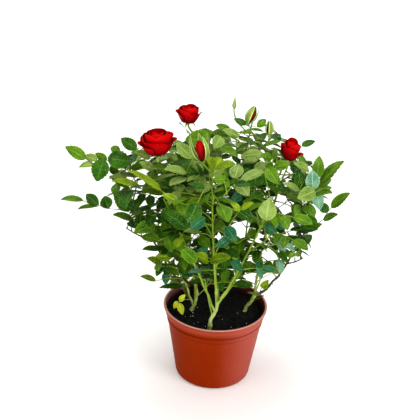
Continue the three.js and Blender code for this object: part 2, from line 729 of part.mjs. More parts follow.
// A body turned from an outline, with a wavy rim.
function wavyBody(b) {
  const { sides, lobes, wave, outline } = forms[b.form];
  const points = [];
  const triangles = [];
  outline.slice(0, -1).forEach(([out, up], i) => {
    for (let j = 0; j < sides; j++) {
      const angle = (2 * Math.PI * j) / sides;
      const ripple = 1 + wave * up * Math.cos(lobes * angle);
      const radius = (b.width / 2) * out * ripple;
      points.push(
        new THREE.Vector3(
          radius * Math.cos(angle),
          radius * Math.sin(angle),
          b.height * (up - 0.5) * ripple,
        ),
      );
      if (i === 0) continue;
      const a = (i - 1) * sides + j;
      const next = (i - 1) * sides + ((j + 1) % sides);
      triangles.push([a, next, next + sides], [a, next + sides, a + sides]);
    }
  });
  const foot = points.push(new THREE.Vector3(0, 0, b.height * (outline[0][1] - 0.5))) - 1;
  const top = points.push(new THREE.Vector3(0, 0, b.height * (outline.at(-1)[1] - 0.5))) - 1;
  const last = (outline.length - 2) * sides;
  for (let j = 0; j < sides; j++) {
    const next = (j + 1) % sides;
    triangles.push([foot, next, j], [top, last + j, last + next]);
  }
  return facingOut(points, triangles);
}

// Sepals stand out round a bud that opens and lie out below a bloom, each a thin pointed blade.
// On a closed bud they are part of its outline.
function sepalSolids(b) {
  if (!sepals[b.form]) return [];
  const { outward, length } = sepals[b.form];
  const solids = [];
  for (let k = 0; k < 5; k++) {
    const bearing = 72 * k + 20;
    const way = polar([bearing, outward, 1]).normalize();
    const across = polar([bearing + 90, sepals.halfWidth]);
    const start = new THREE.Vector3(0, 0, -0.4 * b.height);
    const root = start.clone().addScaledVector(polar([bearing, 1]), 0.2 * b.width);
    const tip = start.clone().addScaledVector(way, length * b.height);
    const points = [start, root.clone().add(across), root.clone().sub(across), tip];
    solids.push(facingOut(points, [[0, 1, 2], [0, 3, 1], [0, 2, 3], [1, 3, 2]]));
  }
  return solids;
}

function bloomSolid(b) {
  const tilt = new THREE.Matrix4().makeRotationY(radians(b.lean));
  const middle = new THREE.Vector3(...b.at);
  const axis = upward.clone().transformDirection(tilt);
  const neck = middle.clone().addScaledVector(axis, -b.height / 2);
  const curve = caneCurves[b.cane];
  const foot = curve.getPoint(b.from);
  const reach = neck.distanceTo(foot);
  const bend = neck.clone().addScaledVector(axis, -reach * 0.45);
  const path = new THREE.QuadraticBezierCurve3(foot, bend, neck.clone().addScaledVector(axis, 1));
  const thickness = (t) => stalk.foot + (stalk.neck - stalk.foot) * t;
  const stem = tube(path, 0, 1, thickness, stalk.sides, stalk.rings);
  tilt.setPosition(middle);
  const head = [wavyBody(b), ...sepalSolids(b)].map((solid) => solid.transform(tilt.elements));
  return largest(union([stem, ...head]).subtract(spineGrowths[b.cane]));
}

const group = new THREE.Group();

function addMesh(name, solid, material) {
  const mesh = new THREE.Mesh(geometryOf(solid), material);
  mesh.name = name;
  group.add(mesh);
}

addMesh("pot", potSolid(), terracotta);
addMesh("potting_soil", soilSolid(), peat);

// Limbs are made in order, and each is cut clear of all that were made before it.
const limbGrowths = [];

function addLimb(name, solid, grown) {
  const cut = limbGrowths.length ? largest(solid.subtract(union(limbGrowths))) : solid;
  limbGrowths.push(grown);
  take(cut);
  addMesh(name, cut, stemGreen);
}

stems.forEach((s, i) => {
  const curve = stemCurves[i];
  const radius = stemRadius(s, curve.getLength());
  const grown = tube(curve, 0, 1, (t) => radius(t) + gap, 8, 4, true);
  const solid = tube(curve, 0, 1, radius, 8, 4, true).trimByPlane([0, 0, 1], soil.top + gap);
  addLimb(s.name, solid, grown);
});

canes.forEach((c, i) => {
  const radius = caneRadius(c);
  const build = (r) => tube(caneCurves[i], 0, c.entry, r, cane.boughSides, cane.boughRings);
  addLimb(`bough_${c.name}`, build(radius), build((t) => radius(t) + gap));
});

// The stem of each mass carries on from its bough.
const spineGrowths = [];
const twigs = canes.map((c, i) => {
  const curve = caneCurves[i];
  const radius = caneRadius(c);
  const start = c.entry + gap / curve.getLength();
  const spine = tube(curve, start, 1, radius, cane.spineSides, cane.spineRings);
  const past = 1 + gap / curve.getLength();
  spineGrowths.push(
    tube(curve, start, past, (t) => radius(t) + gap, cane.spineSides, cane.spineRings),
  );
  take(spine, i);
  return [spine];
});

for (const b of blooms) {
  const solid = bloomSolid(b);
  take(solid);
  addMesh(b.name, solid, b.form.startsWith("b") ? budGreen : petalRed);
}

// Side shoots are left out where they would touch something.
const shootSolids = canes.map(() => []);
const shootCurves = canes.map((c, i) =>
  sideShoots(i).filter((shoot) => {
    const solid = tube(shoot, 0, 1, (t) => foliage.shootRadius * (1 - 0.35 * t), 3, 3);
    if (!keepsClear(solid, i)) return false;
    take(solid, i);
    shootSolids[i].push(solid);
    for (let k = 1; k <= 5; k++) {
      limbPlaces.push({ at: shoot.getPoint(k / 5), radius: foliage.shootRadius });
    }
    return true;
  }),
);
const spaces = canes.map((c, i) => spaceOf(i, shootCurves[i]));

for (const m of markLeaves) {
  const foot = caneCurves[m.cane].getPoint(m.at);
  const heading = polar([m.bearing, Math.cos(radians(m.rise)), Math.sin(radians(m.rise))]);
  const found = setLeaf(m.cane, foot, heading, facing(foot), m.size, m.pairs, true);
  if (found) twigs[m.cane].push(found);
}

canes.forEach((c, i) => {
  const draw = seeded(c.seed + 100);
  const leaves = leavesAlong(i, caneCurves[i], c.entry + 0.02, 0.99, c.turn + 70, draw);
  shootCurves[i].forEach((shoot, k) => {
    const own = leavesAlong(i, shoot, 0.2, 1, c.turn + 137 * k, draw);
    if (own.length) leaves.push(shootSolids[i][k], ...own);
  });
  twigs[i].push(...leaves);
  addMesh(`foliage_${c.name}`, largest(union(twigs[i])), leafGreen);
});

// The pale sprig is a single small leaf.
const sprigFoot = caneCurves[sprig.cane].getPoint(sprig.at);
const sprigWay = polar([sprig.bearing, Math.cos(radians(sprig.rise)), Math.sin(radians(sprig.rise))]);
const sprigLeaf = compoundLeaf(sprigFoot, sprigWay, facing(sprigFoot), sprig.size, sprig.pairs);
addMesh("yellow_sprig", largest(leafSolid(sprigLeaf).subtract(union(limbGrowths))), paleGreen);

export default group;
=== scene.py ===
import math

import bmesh
import bpy
import numpy as np
from mathutils import Matrix, Vector


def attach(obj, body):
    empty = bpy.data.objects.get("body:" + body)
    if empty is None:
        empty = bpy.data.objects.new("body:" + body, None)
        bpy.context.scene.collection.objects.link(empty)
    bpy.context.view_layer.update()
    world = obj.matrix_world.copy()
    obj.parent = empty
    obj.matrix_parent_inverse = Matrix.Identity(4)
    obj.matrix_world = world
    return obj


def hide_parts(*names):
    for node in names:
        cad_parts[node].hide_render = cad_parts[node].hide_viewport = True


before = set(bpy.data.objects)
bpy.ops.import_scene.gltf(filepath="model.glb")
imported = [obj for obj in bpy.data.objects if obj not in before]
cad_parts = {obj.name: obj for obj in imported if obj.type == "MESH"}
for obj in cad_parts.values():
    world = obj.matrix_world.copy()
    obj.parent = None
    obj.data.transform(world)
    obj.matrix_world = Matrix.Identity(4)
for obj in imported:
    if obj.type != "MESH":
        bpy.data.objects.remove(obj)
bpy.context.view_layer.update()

mm = 0.001  # sizes below are in millimetres and meshes in metres
print("frame:", len(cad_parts), "nodes")


# Small helpers for places, directions and seeded numbers

def polar(bearing, reach, height=0.0):
    angle = math.radians(bearing)
    return np.array([reach * math.cos(angle), reach * math.sin(angle), height])


def unit(v):
    return v / np.linalg.norm(v)


def square(v, axis):
    return unit(v - np.dot(v, axis) * axis)  # the part of v across the axis


def seeded(seed):
    # numbers from 0 to 1 that come out the same on every run
    state = seed

    def draw():
        nonlocal state
        state = (state * 1664525 + 1013904223) % 2 ** 32
        return state / 2 ** 32

    for _ in range(8):
        draw()
    return draw


def onCurve(curve, t):
    a, b, c = curve
    return (1 - t) ** 2 * a + 2 * t * (1 - t) * b + t * t * c


def wayOn(curve, t):
    a, b, c = curve
    return unit(2 * (1 - t) * (b - a) + 2 * t * (c - b))


def lengthOf(curve):
    places = np.array([onCurve(curve, k / 200) for k in range(201)])
    return float(np.linalg.norm(np.diff(places, axis=0), axis=1).sum())


# Mesh and object helpers

def meshFrom(name, points, faces, smooth=True):
    mesh = bpy.data.meshes.new(name)
    mesh.from_pydata([tuple(p) for p in points], [], [tuple(f) for f in faces])
    mesh.polygons.foreach_set("use_smooth", [smooth] * len(mesh.polygons))
    mesh.update()
    return mesh


def addMap(mesh, name, maps):
    uvMap = mesh.uv_layers.new(name=name)
    uvMap.data.foreach_set("uv", [c for loop in mesh.loops for c in maps[loop.vertex_index]])


def pointMesh(name, points, edges=(), **values):
    # points in millimetres, with a kind and a row of numbers for each named value
    mesh = bpy.data.meshes.new(name)
    mesh.from_pydata([tuple(p * mm) for p in points], edges, [])
    for label, (kind, row) in values.items():
        key = "vector" if kind == "FLOAT_VECTOR" else "value"
        mesh.attributes.new(label, kind, "POINT").data.foreach_set(key, row)
    return mesh


def place(name, mesh):
    piece = bpy.data.objects.new(name, mesh)
    bpy.context.scene.collection.objects.link(piece)
    return piece


def applied(piece):
    # what the modifiers make becomes the piece's own mesh
    piece.update_tag()
    graph = bpy.context.evaluated_depsgraph_get()
    made = bpy.data.meshes.new_from_object(piece.evaluated_get(graph))
    piece.modifiers.clear()
    piece.data = made
    return piece


def outwards(mesh, merge=0.0):
    work = bmesh.new()
    work.from_mesh(mesh)
    if merge:
        bmesh.ops.remove_doubles(work, verts=work.verts, dist=merge)
    bmesh.ops.recalc_face_normals(work, faces=work.faces)
    work.to_mesh(mesh)
    work.free()


def settle(piece, slotName, *nodes):
    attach(piece, "root")
    if nodes:
        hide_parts(*nodes)
    return piece


# Node helpers

socketKinds = {int: "Int", float: "Float", tuple: "Vector"}


def feed(tree, node, values):
    # a value is a plain one, a socket, or a node whose first output is meant
    for key, value in values.items():
        if isinstance(value, bpy.types.Node):
            value = value.outputs[0]
        if isinstance(value, bpy.types.NodeSocket):
            tree.links.new(value, node.inputs[key])
        else:
            node.inputs[key].default_value = value


def newNode(tree, kind, values=None, **settings):
    node = tree.nodes.new(kind)
    for key, value in settings.items():
        setattr(node, key, value)
    feed(tree, node, values or {})
    return node


def addSockets(group, side, sockets):
    # a number is the socket's own value, and a word is its kind
    for label, value in sockets.items():
        kind = socketKinds.get(type(value), value)
        socket = group.interface.new_socket(label, in_out=side, socket_type=f"NodeSocket{kind}")
        if kind != value:
            socket.default_value = value


def newGroup(name, kind, inputs, outputs):
    group = bpy.data.node_groups.new(name, kind)
    addSockets(group, "INPUT", inputs)
    addSockets(group, "OUTPUT", outputs)
    return group, newNode(group, "NodeGroupInput"), newNode(group, "NodeGroupOutput")


def sums(tree, operation, *values, clamp=False):
    return newNode(tree, "ShaderNodeMath", dict(enumerate(values)), operation=operation,
                   use_clamp=clamp)


def remap(tree, value, low, high, newLow=0.0, newHigh=1.0, **settings):
    return newNode(tree, "ShaderNodeMapRange", {
        "Value": value, "From Min": low, "From Max": high, "To Min": newLow, "To Max": newHigh},
        **settings)


def noiseOf(tree, vector, scale, detail, rough=0.5):
    return newNode(tree, "ShaderNodeTexNoise", {
        "Vector": vector, "Scale": scale, "Detail": detail, "Roughness": rough})


# Geometry Nodes helpers

def newTree(name, sockets):
    return newGroup(name, "GeometryNodeTree", {"Geometry": "Geometry", **sockets},
                    {"Geometry": "Geometry"})


def pointValue(tree, name, kind):
    return newNode(tree, "GeometryNodeInputNamedAttribute", {"Name": name}, data_type=kind)


def setOut(tree, points, shape, turn, size, picks=None):
    # a shape on each point, made real
    placed = newNode(tree, "GeometryNodeInstanceOnPoints", {
        "Points": points, "Instance": shape, "Rotation": turn, "Scale": size, **(picks or {})})
    return newNode(tree, "GeometryNodeRealizeInstances", {"Geometry": placed})


def paint(tree, geometry, material, where=True):
    return newNode(tree, "GeometryNodeSetMaterial", {
        "Geometry": geometry, "Selection": where, "Material": material})


def runTree(name, mesh, tree, values):
    carrier = place(name, mesh)
    modifier = carrier.modifiers.new(tree.name, "NODES")
    modifier.node_group = tree
    for item in tree.interface.items_tree:
        if item.in_out == "INPUT" and item.name in values:
            modifier[item.identifier] = values[item.name]
    return applied(carrier)


# Shader helpers, and the effects that several materials share

def newMaterial(name):
    material = bpy.data.materials.new(name)
    material.use_nodes = True
    tree = material.node_tree
    spot = newNode(tree, "ShaderNodeTexCoord").outputs["Object"]
    return material, tree, tree.nodes["Principled BSDF"], spot


def shaderGroup(name, inputs, output):
    group, given, out = newGroup(name, "ShaderNodeTree", {"Vector": (0, 0, 0), **inputs},
                                 {output: "Float"})
    return group, [given.outputs[label] for label in ("Vector", *inputs)], out


def makeMottle():
    # uneven colour: a coarse and a fine noise mixed into one mask
    group, (spot, scale, contrast), out = shaderGroup(
        "mottle", {"Scale": 60.0, "Contrast": 1.5}, "Mask")
    fine = noiseOf(group, spot, sums(group, "MULTIPLY", scale, 5.3), 2.0)
    both = sums(group, "MULTIPLY_ADD", noiseOf(group, spot, scale, 3.0), 0.65,
                sums(group, "MULTIPLY", fine, 0.35))
    spread = sums(group, "MULTIPLY_ADD", sums(group, "SUBTRACT", both, 0.5), contrast, 0.5, clamp=True)
    feed(group, out, {"Mask": spread})
    return group


def makeGrain():
    # fine surface relief, as a height
    group, (spot, scale, stretch), out = shaderGroup(
        "grain", {"Scale": 900.0, "Stretch": 1.0}, "Height")
    drawn = newNode(group, "ShaderNodeCombineXYZ", {0: 1.0, 1: 1.0, 2: stretch})
    scaled = newNode(group, "ShaderNodeVectorMath", {0: spot, 1: drawn}, operation="MULTIPLY")
    feed(group, out, {"Height": noiseOf(group, scaled, scale, 4.0, 0.6)})
    return group


def makeSpecks():
    # small scattered dots, such as dried water drops
    group, (spot, scale, amount), out = shaderGroup(
        "specks", {"Scale": 800.0, "Amount": 0.3}, "Mask")
    cells = newNode(group, "ShaderNodeTexVoronoi", {"Vector": spot, "Scale": scale})
    near = remap(group, cells, 0.28, 0.12)
    where = remap(group, noiseOf(group, spot, 90.0, 2.0), 0.46, 0.60)
    both = sums(group, "MULTIPLY", near, where)
    feed(group, out, {"Mask": sums(group, "MULTIPLY", both, amount)})
    return group


mottle = makeMottle()
grain = makeGrain()
specks = makeSpecks()


def useGroup(tree, group, **values):
    return newNode(tree, "ShaderNodeGroup", values, node_tree=group)


def blend(tree, mask, low, high):
    # a colour between two, each a colour or a socket, on the node's sockets for colours
    low, high = [(*c, 1.0) if isinstance(c, tuple) else c for c in (low, high)]
    return newNode(tree, "ShaderNodeMix", {0: mask, 6: low, 7: high}, data_type="RGBA").outputs[2]


def finishShader(tree, shader, colour, rough, specular, height, strength, depth):
    bump = newNode(tree, "ShaderNodeBump", {
        "Height": height, "Strength": strength, "Distance": depth})
    feed(tree, shader, {"Base Color": colour, "Roughness": rough, "Specular IOR Level": specular,
                        "Normal": bump})


def plainFinish(name, dark, light, rough, scale, contrast=1.6, relief=0.2, grainScale=900.0,
                depth=0.0002, stretch=1.0, specular=0.12, higher=None):
    # two mottled shades over fine relief, which may give way to two others with height
    material, tree, shader, spot = newMaterial(name)
    patches = useGroup(tree, mottle, Vector=spot, Scale=scale, Contrast=contrast)
    shade = blend(tree, patches, dark, light)
    if higher:
        parts = newNode(tree, "ShaderNodeSeparateXYZ", {0: spot})
        level = remap(tree, parts.outputs[2], higher["from"], higher["to"])
        shade = blend(tree, level, shade, blend(tree, patches, higher["dark"], higher["light"]))
    height = useGroup(tree, grain, Vector=spot, Scale=grainScale, Stretch=stretch)
    finishShader(tree, shader, shade, remap(tree, patches, 0, 1, *rough), specular, height, relief,
                 depth)
    return material


# Finishes

# the pale sheen tint is a paler, greyer copy of the greens, a painted highlight
leafTints = {
    "deep": {"dark": (0.006, 0.036, 0.001), "light": (0.040, 0.122, 0.004)},
    "mid": {"dark": (0.033, 0.105, 0.002), "light": (0.116, 0.222, 0.009)},
    "sage": {"dark": (0.095, 0.170, 0.018), "light": (0.228, 0.308, 0.082)},
    "teal": {"dark": (0.006, 0.068, 0.024), "light": (0.050, 0.180, 0.085)},
    "mist": {"dark": (0.070, 0.190, 0.100), "light": (0.240, 0.400, 0.280)},
    "young": {"dark": (0.080, 0.150, 0.002), "light": (0.215, 0.300, 0.010)},
    "yellow": {"dark": (0.240, 0.290, 0.006), "light": (0.520, 0.560, 0.030)},
}
leafLook = {"veinSlant": -0.62, "veins": 7.0, "veinWidth": 0.13, "drops": (0.55, 0.62, 0.50),
            "back": (0.042, 0.066, 0.024)}


def makeLeafFinish(name, dark, light):
    # veins run out from the midrib across the leaflet's own map, and the underside is paler
    material, tree, shader, spot = newMaterial(name)
    leafMap = newNode(tree, "ShaderNodeUVMap", uv_map="blade")
    parts = newNode(tree, "ShaderNodeSeparateXYZ", {0: leafMap})
    side = sums(tree, "ABSOLUTE", sums(tree, "SUBTRACT", parts, 0.5))
    slant = sums(tree, "MULTIPLY_ADD", side, leafLook["veinSlant"], parts.outputs[1])
    comb = sums(tree, "PINGPONG", sums(tree, "MULTIPLY", slant, leafLook["veins"]), 0.5)
    veins = sums(tree, "MAXIMUM", remap(tree, comb, 0.0, leafLook["veinWidth"], 0.6, 0.0),
                 remap(tree, side, 0.015, 0.05, 1.0, 0.0))
    patches = useGroup(tree, mottle, Vector=spot, Scale=75.0, Contrast=3.4)
    green = blend(tree, patches, dark, light)
    margin = remap(tree, side, 0.40, 0.5, 0.0, 0.45)
    faint = sums(tree, "MULTIPLY_ADD", veins, 0.6, margin, clamp=True)
    veined = blend(tree, faint, green, tuple(1.5 * c + 0.03 for c in light))
    drops = useGroup(tree, specks, Vector=spot, Scale=750.0, Amount=0.75)
    veined = blend(tree, drops, veined, leafLook["drops"])
    pale = tuple(0.6 * c + s for c, s in zip(light, leafLook["back"]))
    back = newNode(tree, "ShaderNodeNewGeometry").outputs["Backfacing"]
    shade = blend(tree, sums(tree, "MULTIPLY", back, 0.7), veined, pale)
    fine = useGroup(tree, grain, Vector=spot, Scale=1400.0, Stretch=1.0)
    height = sums(tree, "MULTIPLY_ADD", veins, -0.8, fine)
    finishShader(tree, shader, shade, remap(tree, patches, 0, 1, 0.34, 0.5), 0.08, height, 0.35, 0.0003)
    return material


tintNames = list(leafTints)
leafFinishes = [makeLeafFinish(f"{name}Leaf", **tint) for name, tint in leafTints.items()]
green = {"from": 0.105, "to": 0.145, "dark": (0.110, 0.200, 0.012), "light": (0.290, 0.400, 0.055)}
twigFinish = plainFinish("greenTwig", green["dark"], green["light"], (0.4, 0.55), 70.0, relief=0.3)
ripeFinish = plainFinish("ripeCane", (0.030, 0.034, 0.008), (0.105, 0.125, 0.030), (0.4, 0.6),
                         70.0, contrast=2.0, relief=0.4)
ripeCanes = ("far_left", "far_right")  # the oldest canes have turned dark
barkFinish = plainFinish("greenBark", (0.120, 0.190, 0.020), (0.480, 0.540, 0.220), (0.42, 0.62),
                         85.0, contrast=3.0, relief=0.5, grainScale=1500.0, stretch=0.25,
                         higher=green)
thornFinish = plainFinish("thornTan", (0.16, 0.08, 0.03), (0.36, 0.26, 0.10), (0.45, 0.6), 300.0)
peatFinish = plainFinish("dampPeat", (0.0012, 0.0014, 0.0016), (0.024, 0.024, 0.024), (0.7, 0.95),
                         240.0, contrast=3.4, relief=0.9, grainScale=700.0, depth=0.0012,
                         specular=0.1)
perliteFinish = plainFinish("perlite", (0.50, 0.49, 0.46), (0.86, 0.85, 0.82), (0.8, 0.95), 500.0,
                            relief=0.6)
sepalFinish = plainFinish("greenSepal", (0.115, 0.215, 0.022), (0.245, 0.375, 0.070), (0.5, 0.65),
                          220.0, relief=0.4)
paleEdgeFinish = plainFinish("sepalEdge", (0.42, 0.50, 0.20), (0.58, 0.64, 0.34), (0.55, 0.7), 300.0)
paintedPotBands = [  # height, reach either way, strength and colour of the bands painted round the pot: a painted highlight on the collar, painted shade in two creases, a painted highlight along the lip
    (0.0930, 0.0070, 0.38, (0.370, 0.095, 0.066)), (0.0828, 0.0016, 0.45, (0.070, 0.004, 0.001)),
    (0.0762, 0.0013, 0.40, (0.080, 0.006, 0.001)), (0.0980, 0.0009, 0.55, (0.780, 0.480, 0.420)),
]


def makePotFinish():
    # a painted sheen turns it paler and pinker towards one side, and painted highlights and shade run
    # round it in bands
    material, tree, shader, spot = newMaterial("terracottaPlastic")
    parts = newNode(tree, "ShaderNodeSeparateXYZ", {0: spot})
    patches = useGroup(tree, mottle, Vector=spot, Scale=26.0, Contrast=1.3)
    deep = blend(tree, patches, (0.172, 0.0165, 0.001), (0.228, 0.025, 0.001))
    sheenPink = blend(tree, patches, (0.325, 0.074, 0.054), (0.395, 0.095, 0.072))
    # painted sheen: paler and pinker towards +X
    sheenSide = remap(tree, parts, 0.000, 0.056, interpolation_type="SMOOTHSTEP")
    body = blend(tree, sheenSide, deep, sheenPink)
    # painted light round the pot: the pale bands are painted highlights and the dark bands painted shade
    for level, reach, amount, shade in paintedPotBands:
        away = sums(tree, "ABSOLUTE", sums(tree, "SUBTRACT", parts.outputs[2], level))
        body = blend(tree, remap(tree, away, 0.3 * reach, reach, amount, 0.0), body, shade)
    height = useGroup(tree, grain, Vector=spot, Scale=1800.0, Stretch=1.0)
    finishShader(tree, shader, body, remap(tree, patches, 0, 1, 0.34, 0.46), 0.02, height, 0.12, 0.0001)
    return material


def makePotInsideFinish():
    # the inner wall: paler on one side, a painted sheen, and darker just over the peat
    material, tree, shader, spot = newMaterial("potInside")
    parts = newNode(tree, "ShaderNodeSeparateXYZ", {0: spot})
    patches = useGroup(tree, mottle, Vector=spot, Scale=40.0, Contrast=1.6)
    wall = blend(tree, patches, (0.060, 0.010, 0.008), (0.120, 0.026, 0.020))
    # painted sheen: paler and pinker towards -X
    wall = blend(tree, remap(tree, parts, -0.030, -0.060), wall, (0.300, 0.120, 0.110))
    height = useGroup(tree, grain, Vector=spot, Scale=300.0, Stretch=1.0)
    uneven = sums(tree, "MULTIPLY_ADD", height, 0.006, parts.outputs[2])
    # darker in a band just over the peat
    wall = blend(tree, remap(tree, uneven, 0.0965, 0.0915, 0.0, 0.9), wall, (0.010, 0.006, 0.005))
    finishShader(tree, shader, wall, 0.55, 0.1, height, 0.2, 0.0002)
    return material


def makePetalFinish(name, base, middle, tip):
    # darker towards the foot of the petal, a painted shade, with fine veins that run up it
    material, tree, shader, spot = newMaterial(name)
    petalMap = newNode(tree, "ShaderNodeUVMap", uv_map="petal")
    parts = newNode(tree, "ShaderNodeSeparateXYZ", {0: petalMap})
    ramp = newNode(tree, "ShaderNodeValToRGB", {0: parts.outputs[1]})
    ramp.color_ramp.elements[0].color = (*base, 1)
    ramp.color_ramp.elements[1].color = (*tip, 1)
    ramp.color_ramp.elements.new(0.5).color = (*middle, 1)
    patches = useGroup(tree, mottle, Vector=spot, Scale=120.0, Contrast=1.4)
    shade = blend(tree, sums(tree, "MULTIPLY", patches, 0.35), ramp, base)
    fan = newNode(tree, "ShaderNodeCombineXYZ", {0: parts, 1: parts.outputs[1]})
    squeezed = newNode(tree, "ShaderNodeVectorMath", {0: fan, 1: (60.0, 3.0, 1.0)}, operation="MULTIPLY")
    finishShader(tree, shader, shade, 0.6, 0.08, noiseOf(tree, squeezed, 1.0, 2.0), 0.3, 0.0003)
    return material


potFinish = makePotFinish()
potInsideFinish = makePotInsideFinish()
petalFinish = makePetalFinish("redPetal", (0.060, 0.0, 0.002), (0.360, 0.0, 0.001),
                              (0.580, 0.001, 0.002))
# a darker copy of the red for the outermost petals, a painted shade
darkPetalFinish = makePetalFinish("darkPetal", (0.050, 0.0, 0.002), (0.280, 0.0, 0.002),
                                  (0.480, 0.0, 0.001))
print("finishes made")


# Stems and canes, the same curves as in the solid model

stems = [
    {"name": "front_stem", "foot": (-99, 41), "top": (-86, 38, 121), "thick": 3.2, "thin": 2.6},
    {"name": "left_stem", "foot": (176, 30), "top": (168, 23, 107), "thick": 3.0, "thin": 2.4},
    {"name": "right_stem", "foot": (10, 38), "top": (6, 49, 109), "thick": 2.9, "thin": 2.3},
    {"name": "back_stem", "foot": (86, 36), "top": (93, 40, 117), "thick": 3.0, "thin": 2.5},
]
caneValues = ("name", "stem", "at", "tip", "bend", "entry", "thick", "turn", "shoots")
canes = [
    ("far_left", 1, 0.45, (-175, 128, 290), (0.55, 0.42), 0.34, 2.1, 200, 2),
    ("left_top", 1, 0.97, (-158, 78, 300), (0.4, 0.5), 0.17, 2.0, 60, 3),
    ("left_low", 1, 0.3, (-163, 70, 172), (0.3, 0.65), 0.4, 1.5, 150, 1),
    ("front_centre", 0, 0.97, (-101, 60, 300), (0.75, 0.5), 0.15, 2.3, 10, 3),
    ("front_right", 0, 0.95, (-44, 80, 272), (0.55, 0.4), 0.22, 2.2, 250, 3),
    ("front_left", 0, 0.7, (-140, 84, 262), (0.45, 0.5), 0.26, 1.8, 120, 3),
    ("right_top", 2, 0.97, (6, 78, 290), (0.1, 0.55), 0.18, 1.9, 300, 3),
    ("far_right", 2, 0.8, (3, 104, 248), (0.92, 0.3), 0.34, 2.0, 290, 3),
    ("centre_top", 3, 0.97, (148, 44, 314), (0.5, 0.5), 0.15, 2.1, 45, 3),
    ("back_top", 3, 0.9, (60, 66, 322), (0.5, 0.5), 0.15, 2.0, 80, 3),
    ("back_left", 3, 0.75, (128, 112, 290), (0.5, 0.42), 0.24, 1.9, 30, 3),
    ("back_right", 3, 0.6, (42, 112, 280), (0.55, 0.4), 0.24, 1.9, 100, 3),
]
firstSeed = 11
canes = [dict(zip(caneValues, row), seed=firstSeed + k) for k, row in enumerate(canes)]
limb = {"soilTop": 86, "flareGrowth": 0.2, "flareHeight": 6, "thin": 1.0, "step": 2.0,
        "stemSides": 16, "twigSides": 6, "barkRelief": 0.26, "twigRelief": 0.05, "twigStep": 3.0,
        "innerStep": 2.5, "barkScale": 220.0,
        "slim": 0.80, "slimStem": 0.76, "knuckle": 0.26, "knuckleSpacing": 15, "knuckleLength": 2.0,
        "zigzag": 1.5}


def stemCurve(stem):
    foot = polar(*stem["foot"], limb["soilTop"] - 3)
    top = polar(*stem["top"])
    middle = (foot + top) / 2
    middle[:2] = foot[:2] + (top[:2] - foot[:2]) * 0.35
    return foot, middle, top


def caneCurve(cane):
    foot = onCurve(stemCurves[cane["stem"]], cane["at"])
    tip = polar(*cane["tip"])
    out, rise = cane["bend"]
    return foot, foot + (tip - foot) * np.array([out, out, rise]), tip


stemCurves = [stemCurve(s) for s in stems]
caneCurves = [caneCurve(c) for c in canes]


def knuckles(distance, phase):
    # a joint of the cane is a little thicker than what lies between
    nearest = (distance + phase) % limb["knuckleSpacing"] - limb["knuckleSpacing"] / 2
    return 1 + limb["knuckle"] * math.exp(-((nearest / limb["knuckleLength"]) ** 2))


def limbPath(curve, t0, t1, radiusAt, phase, step, zigzag=0.0):
    # places along a limb with the radius at each, closed by a rounded end
    length = lengthOf(curve)
    count = max(4, round(length * (t1 - t0) / step))
    path = []
    for k in range(count + 1):
        t = t0 + (t1 - t0) * k / count
        turns = (t * length + phase) / limb["knuckleSpacing"]
        sway = zigzag * (2 * abs(turns % 2 - 1) - 1) * min(1, 4 * k / count)
        side = square(polar(40 * phase, 1), wayOn(curve, t))
        path.append((onCurve(curve, t) + side * sway, radiusAt(t) * knuckles(t * length, phase)))
    last, radius = path[-1]
    ahead = wayOn(curve, t1)
    path.append((last + ahead * radius * 0.5, radius * 0.8))
    path.append((last + ahead * radius * 0.8, radius * 0.3))
    return path


def pathMesh(name, paths):
    # all paths as loose edges, with the radius kept on the points
    points, radii, edges = [], [], []
    for path in paths:
        first = len(points)
        points += [spot for spot, _ in path]
        radii += [radius * mm for _, radius in path]
        edges += [(first + k, first + k + 1) for k in range(len(path) - 1)]
    return pointMesh(name, points, edges, thick=("FLOAT", radii))


def makeLimbTree():
    # a tube along every path, with the relief of the bark
    tree, given, out = newTree("limbTree", {
        "Sides": 12, "Relief": 0.0002, "Relief scale": 300.0, "Bark": "Material"})
    ring = newNode(tree, "GeometryNodeCurvePrimitiveCircle", {
        "Resolution": given.outputs["Sides"], "Radius": 1.0})
    tube = newNode(tree, "GeometryNodeCurveToMesh", {
        "Curve": newNode(tree, "GeometryNodeMeshToCurve", {"Mesh": given}), "Profile Curve": ring,
        "Scale": pointValue(tree, "thick", "FLOAT"), "Fill Caps": True})
    where = newNode(tree, "GeometryNodeInputPosition")
    bumps = sums(tree, "SUBTRACT", noiseOf(tree, where, given.outputs["Relief scale"], 3.0), 0.5)
    shift = newNode(tree, "ShaderNodeVectorMath", {
        0: newNode(tree, "GeometryNodeInputNormal"),
        "Scale": sums(tree, "MULTIPLY", bumps, given.outputs["Relief"])}, operation="SCALE")
    moved = newNode(tree, "GeometryNodeSetPosition", {"Geometry": tube, "Offset": shift})
    real = newNode(tree, "GeometryNodeRealizeInstances", {"Geometry": moved})
    feed(tree, out, {0: paint(tree, real, given.outputs["Bark"])})
    return tree


limbTree = makeLimbTree()


def growLimbs(name, paths, sides, relief, finish, *nodes):
    piece = runTree(name, pathMesh(name, paths), limbTree, {
        "Sides": sides, "Relief": relief * mm * 2, "Relief scale": limb["barkScale"],
        "Bark": finish})
    outwards(piece.data)
    piece.data.polygons.foreach_set("use_smooth", [True] * len(piece.data.polygons))
    return settle(piece, "green_cane", *nodes)


def stemRadius(stem, length):
    def radius(t):
        flare = 1 + limb["flareGrowth"] * math.exp(-t * length / limb["flareHeight"])
        return (stem["thick"] + (stem["thin"] - stem["thick"]) * t) * flare * limb["slimStem"]
    return radius


def caneRadius(cane):
    return lambda t: (cane["thick"] + (limb["thin"] - cane["thick"]) * t) * limb["slim"]


def caneFinish(cane, usual):
    return ripeFinish if cane["name"] in ripeCanes else usual


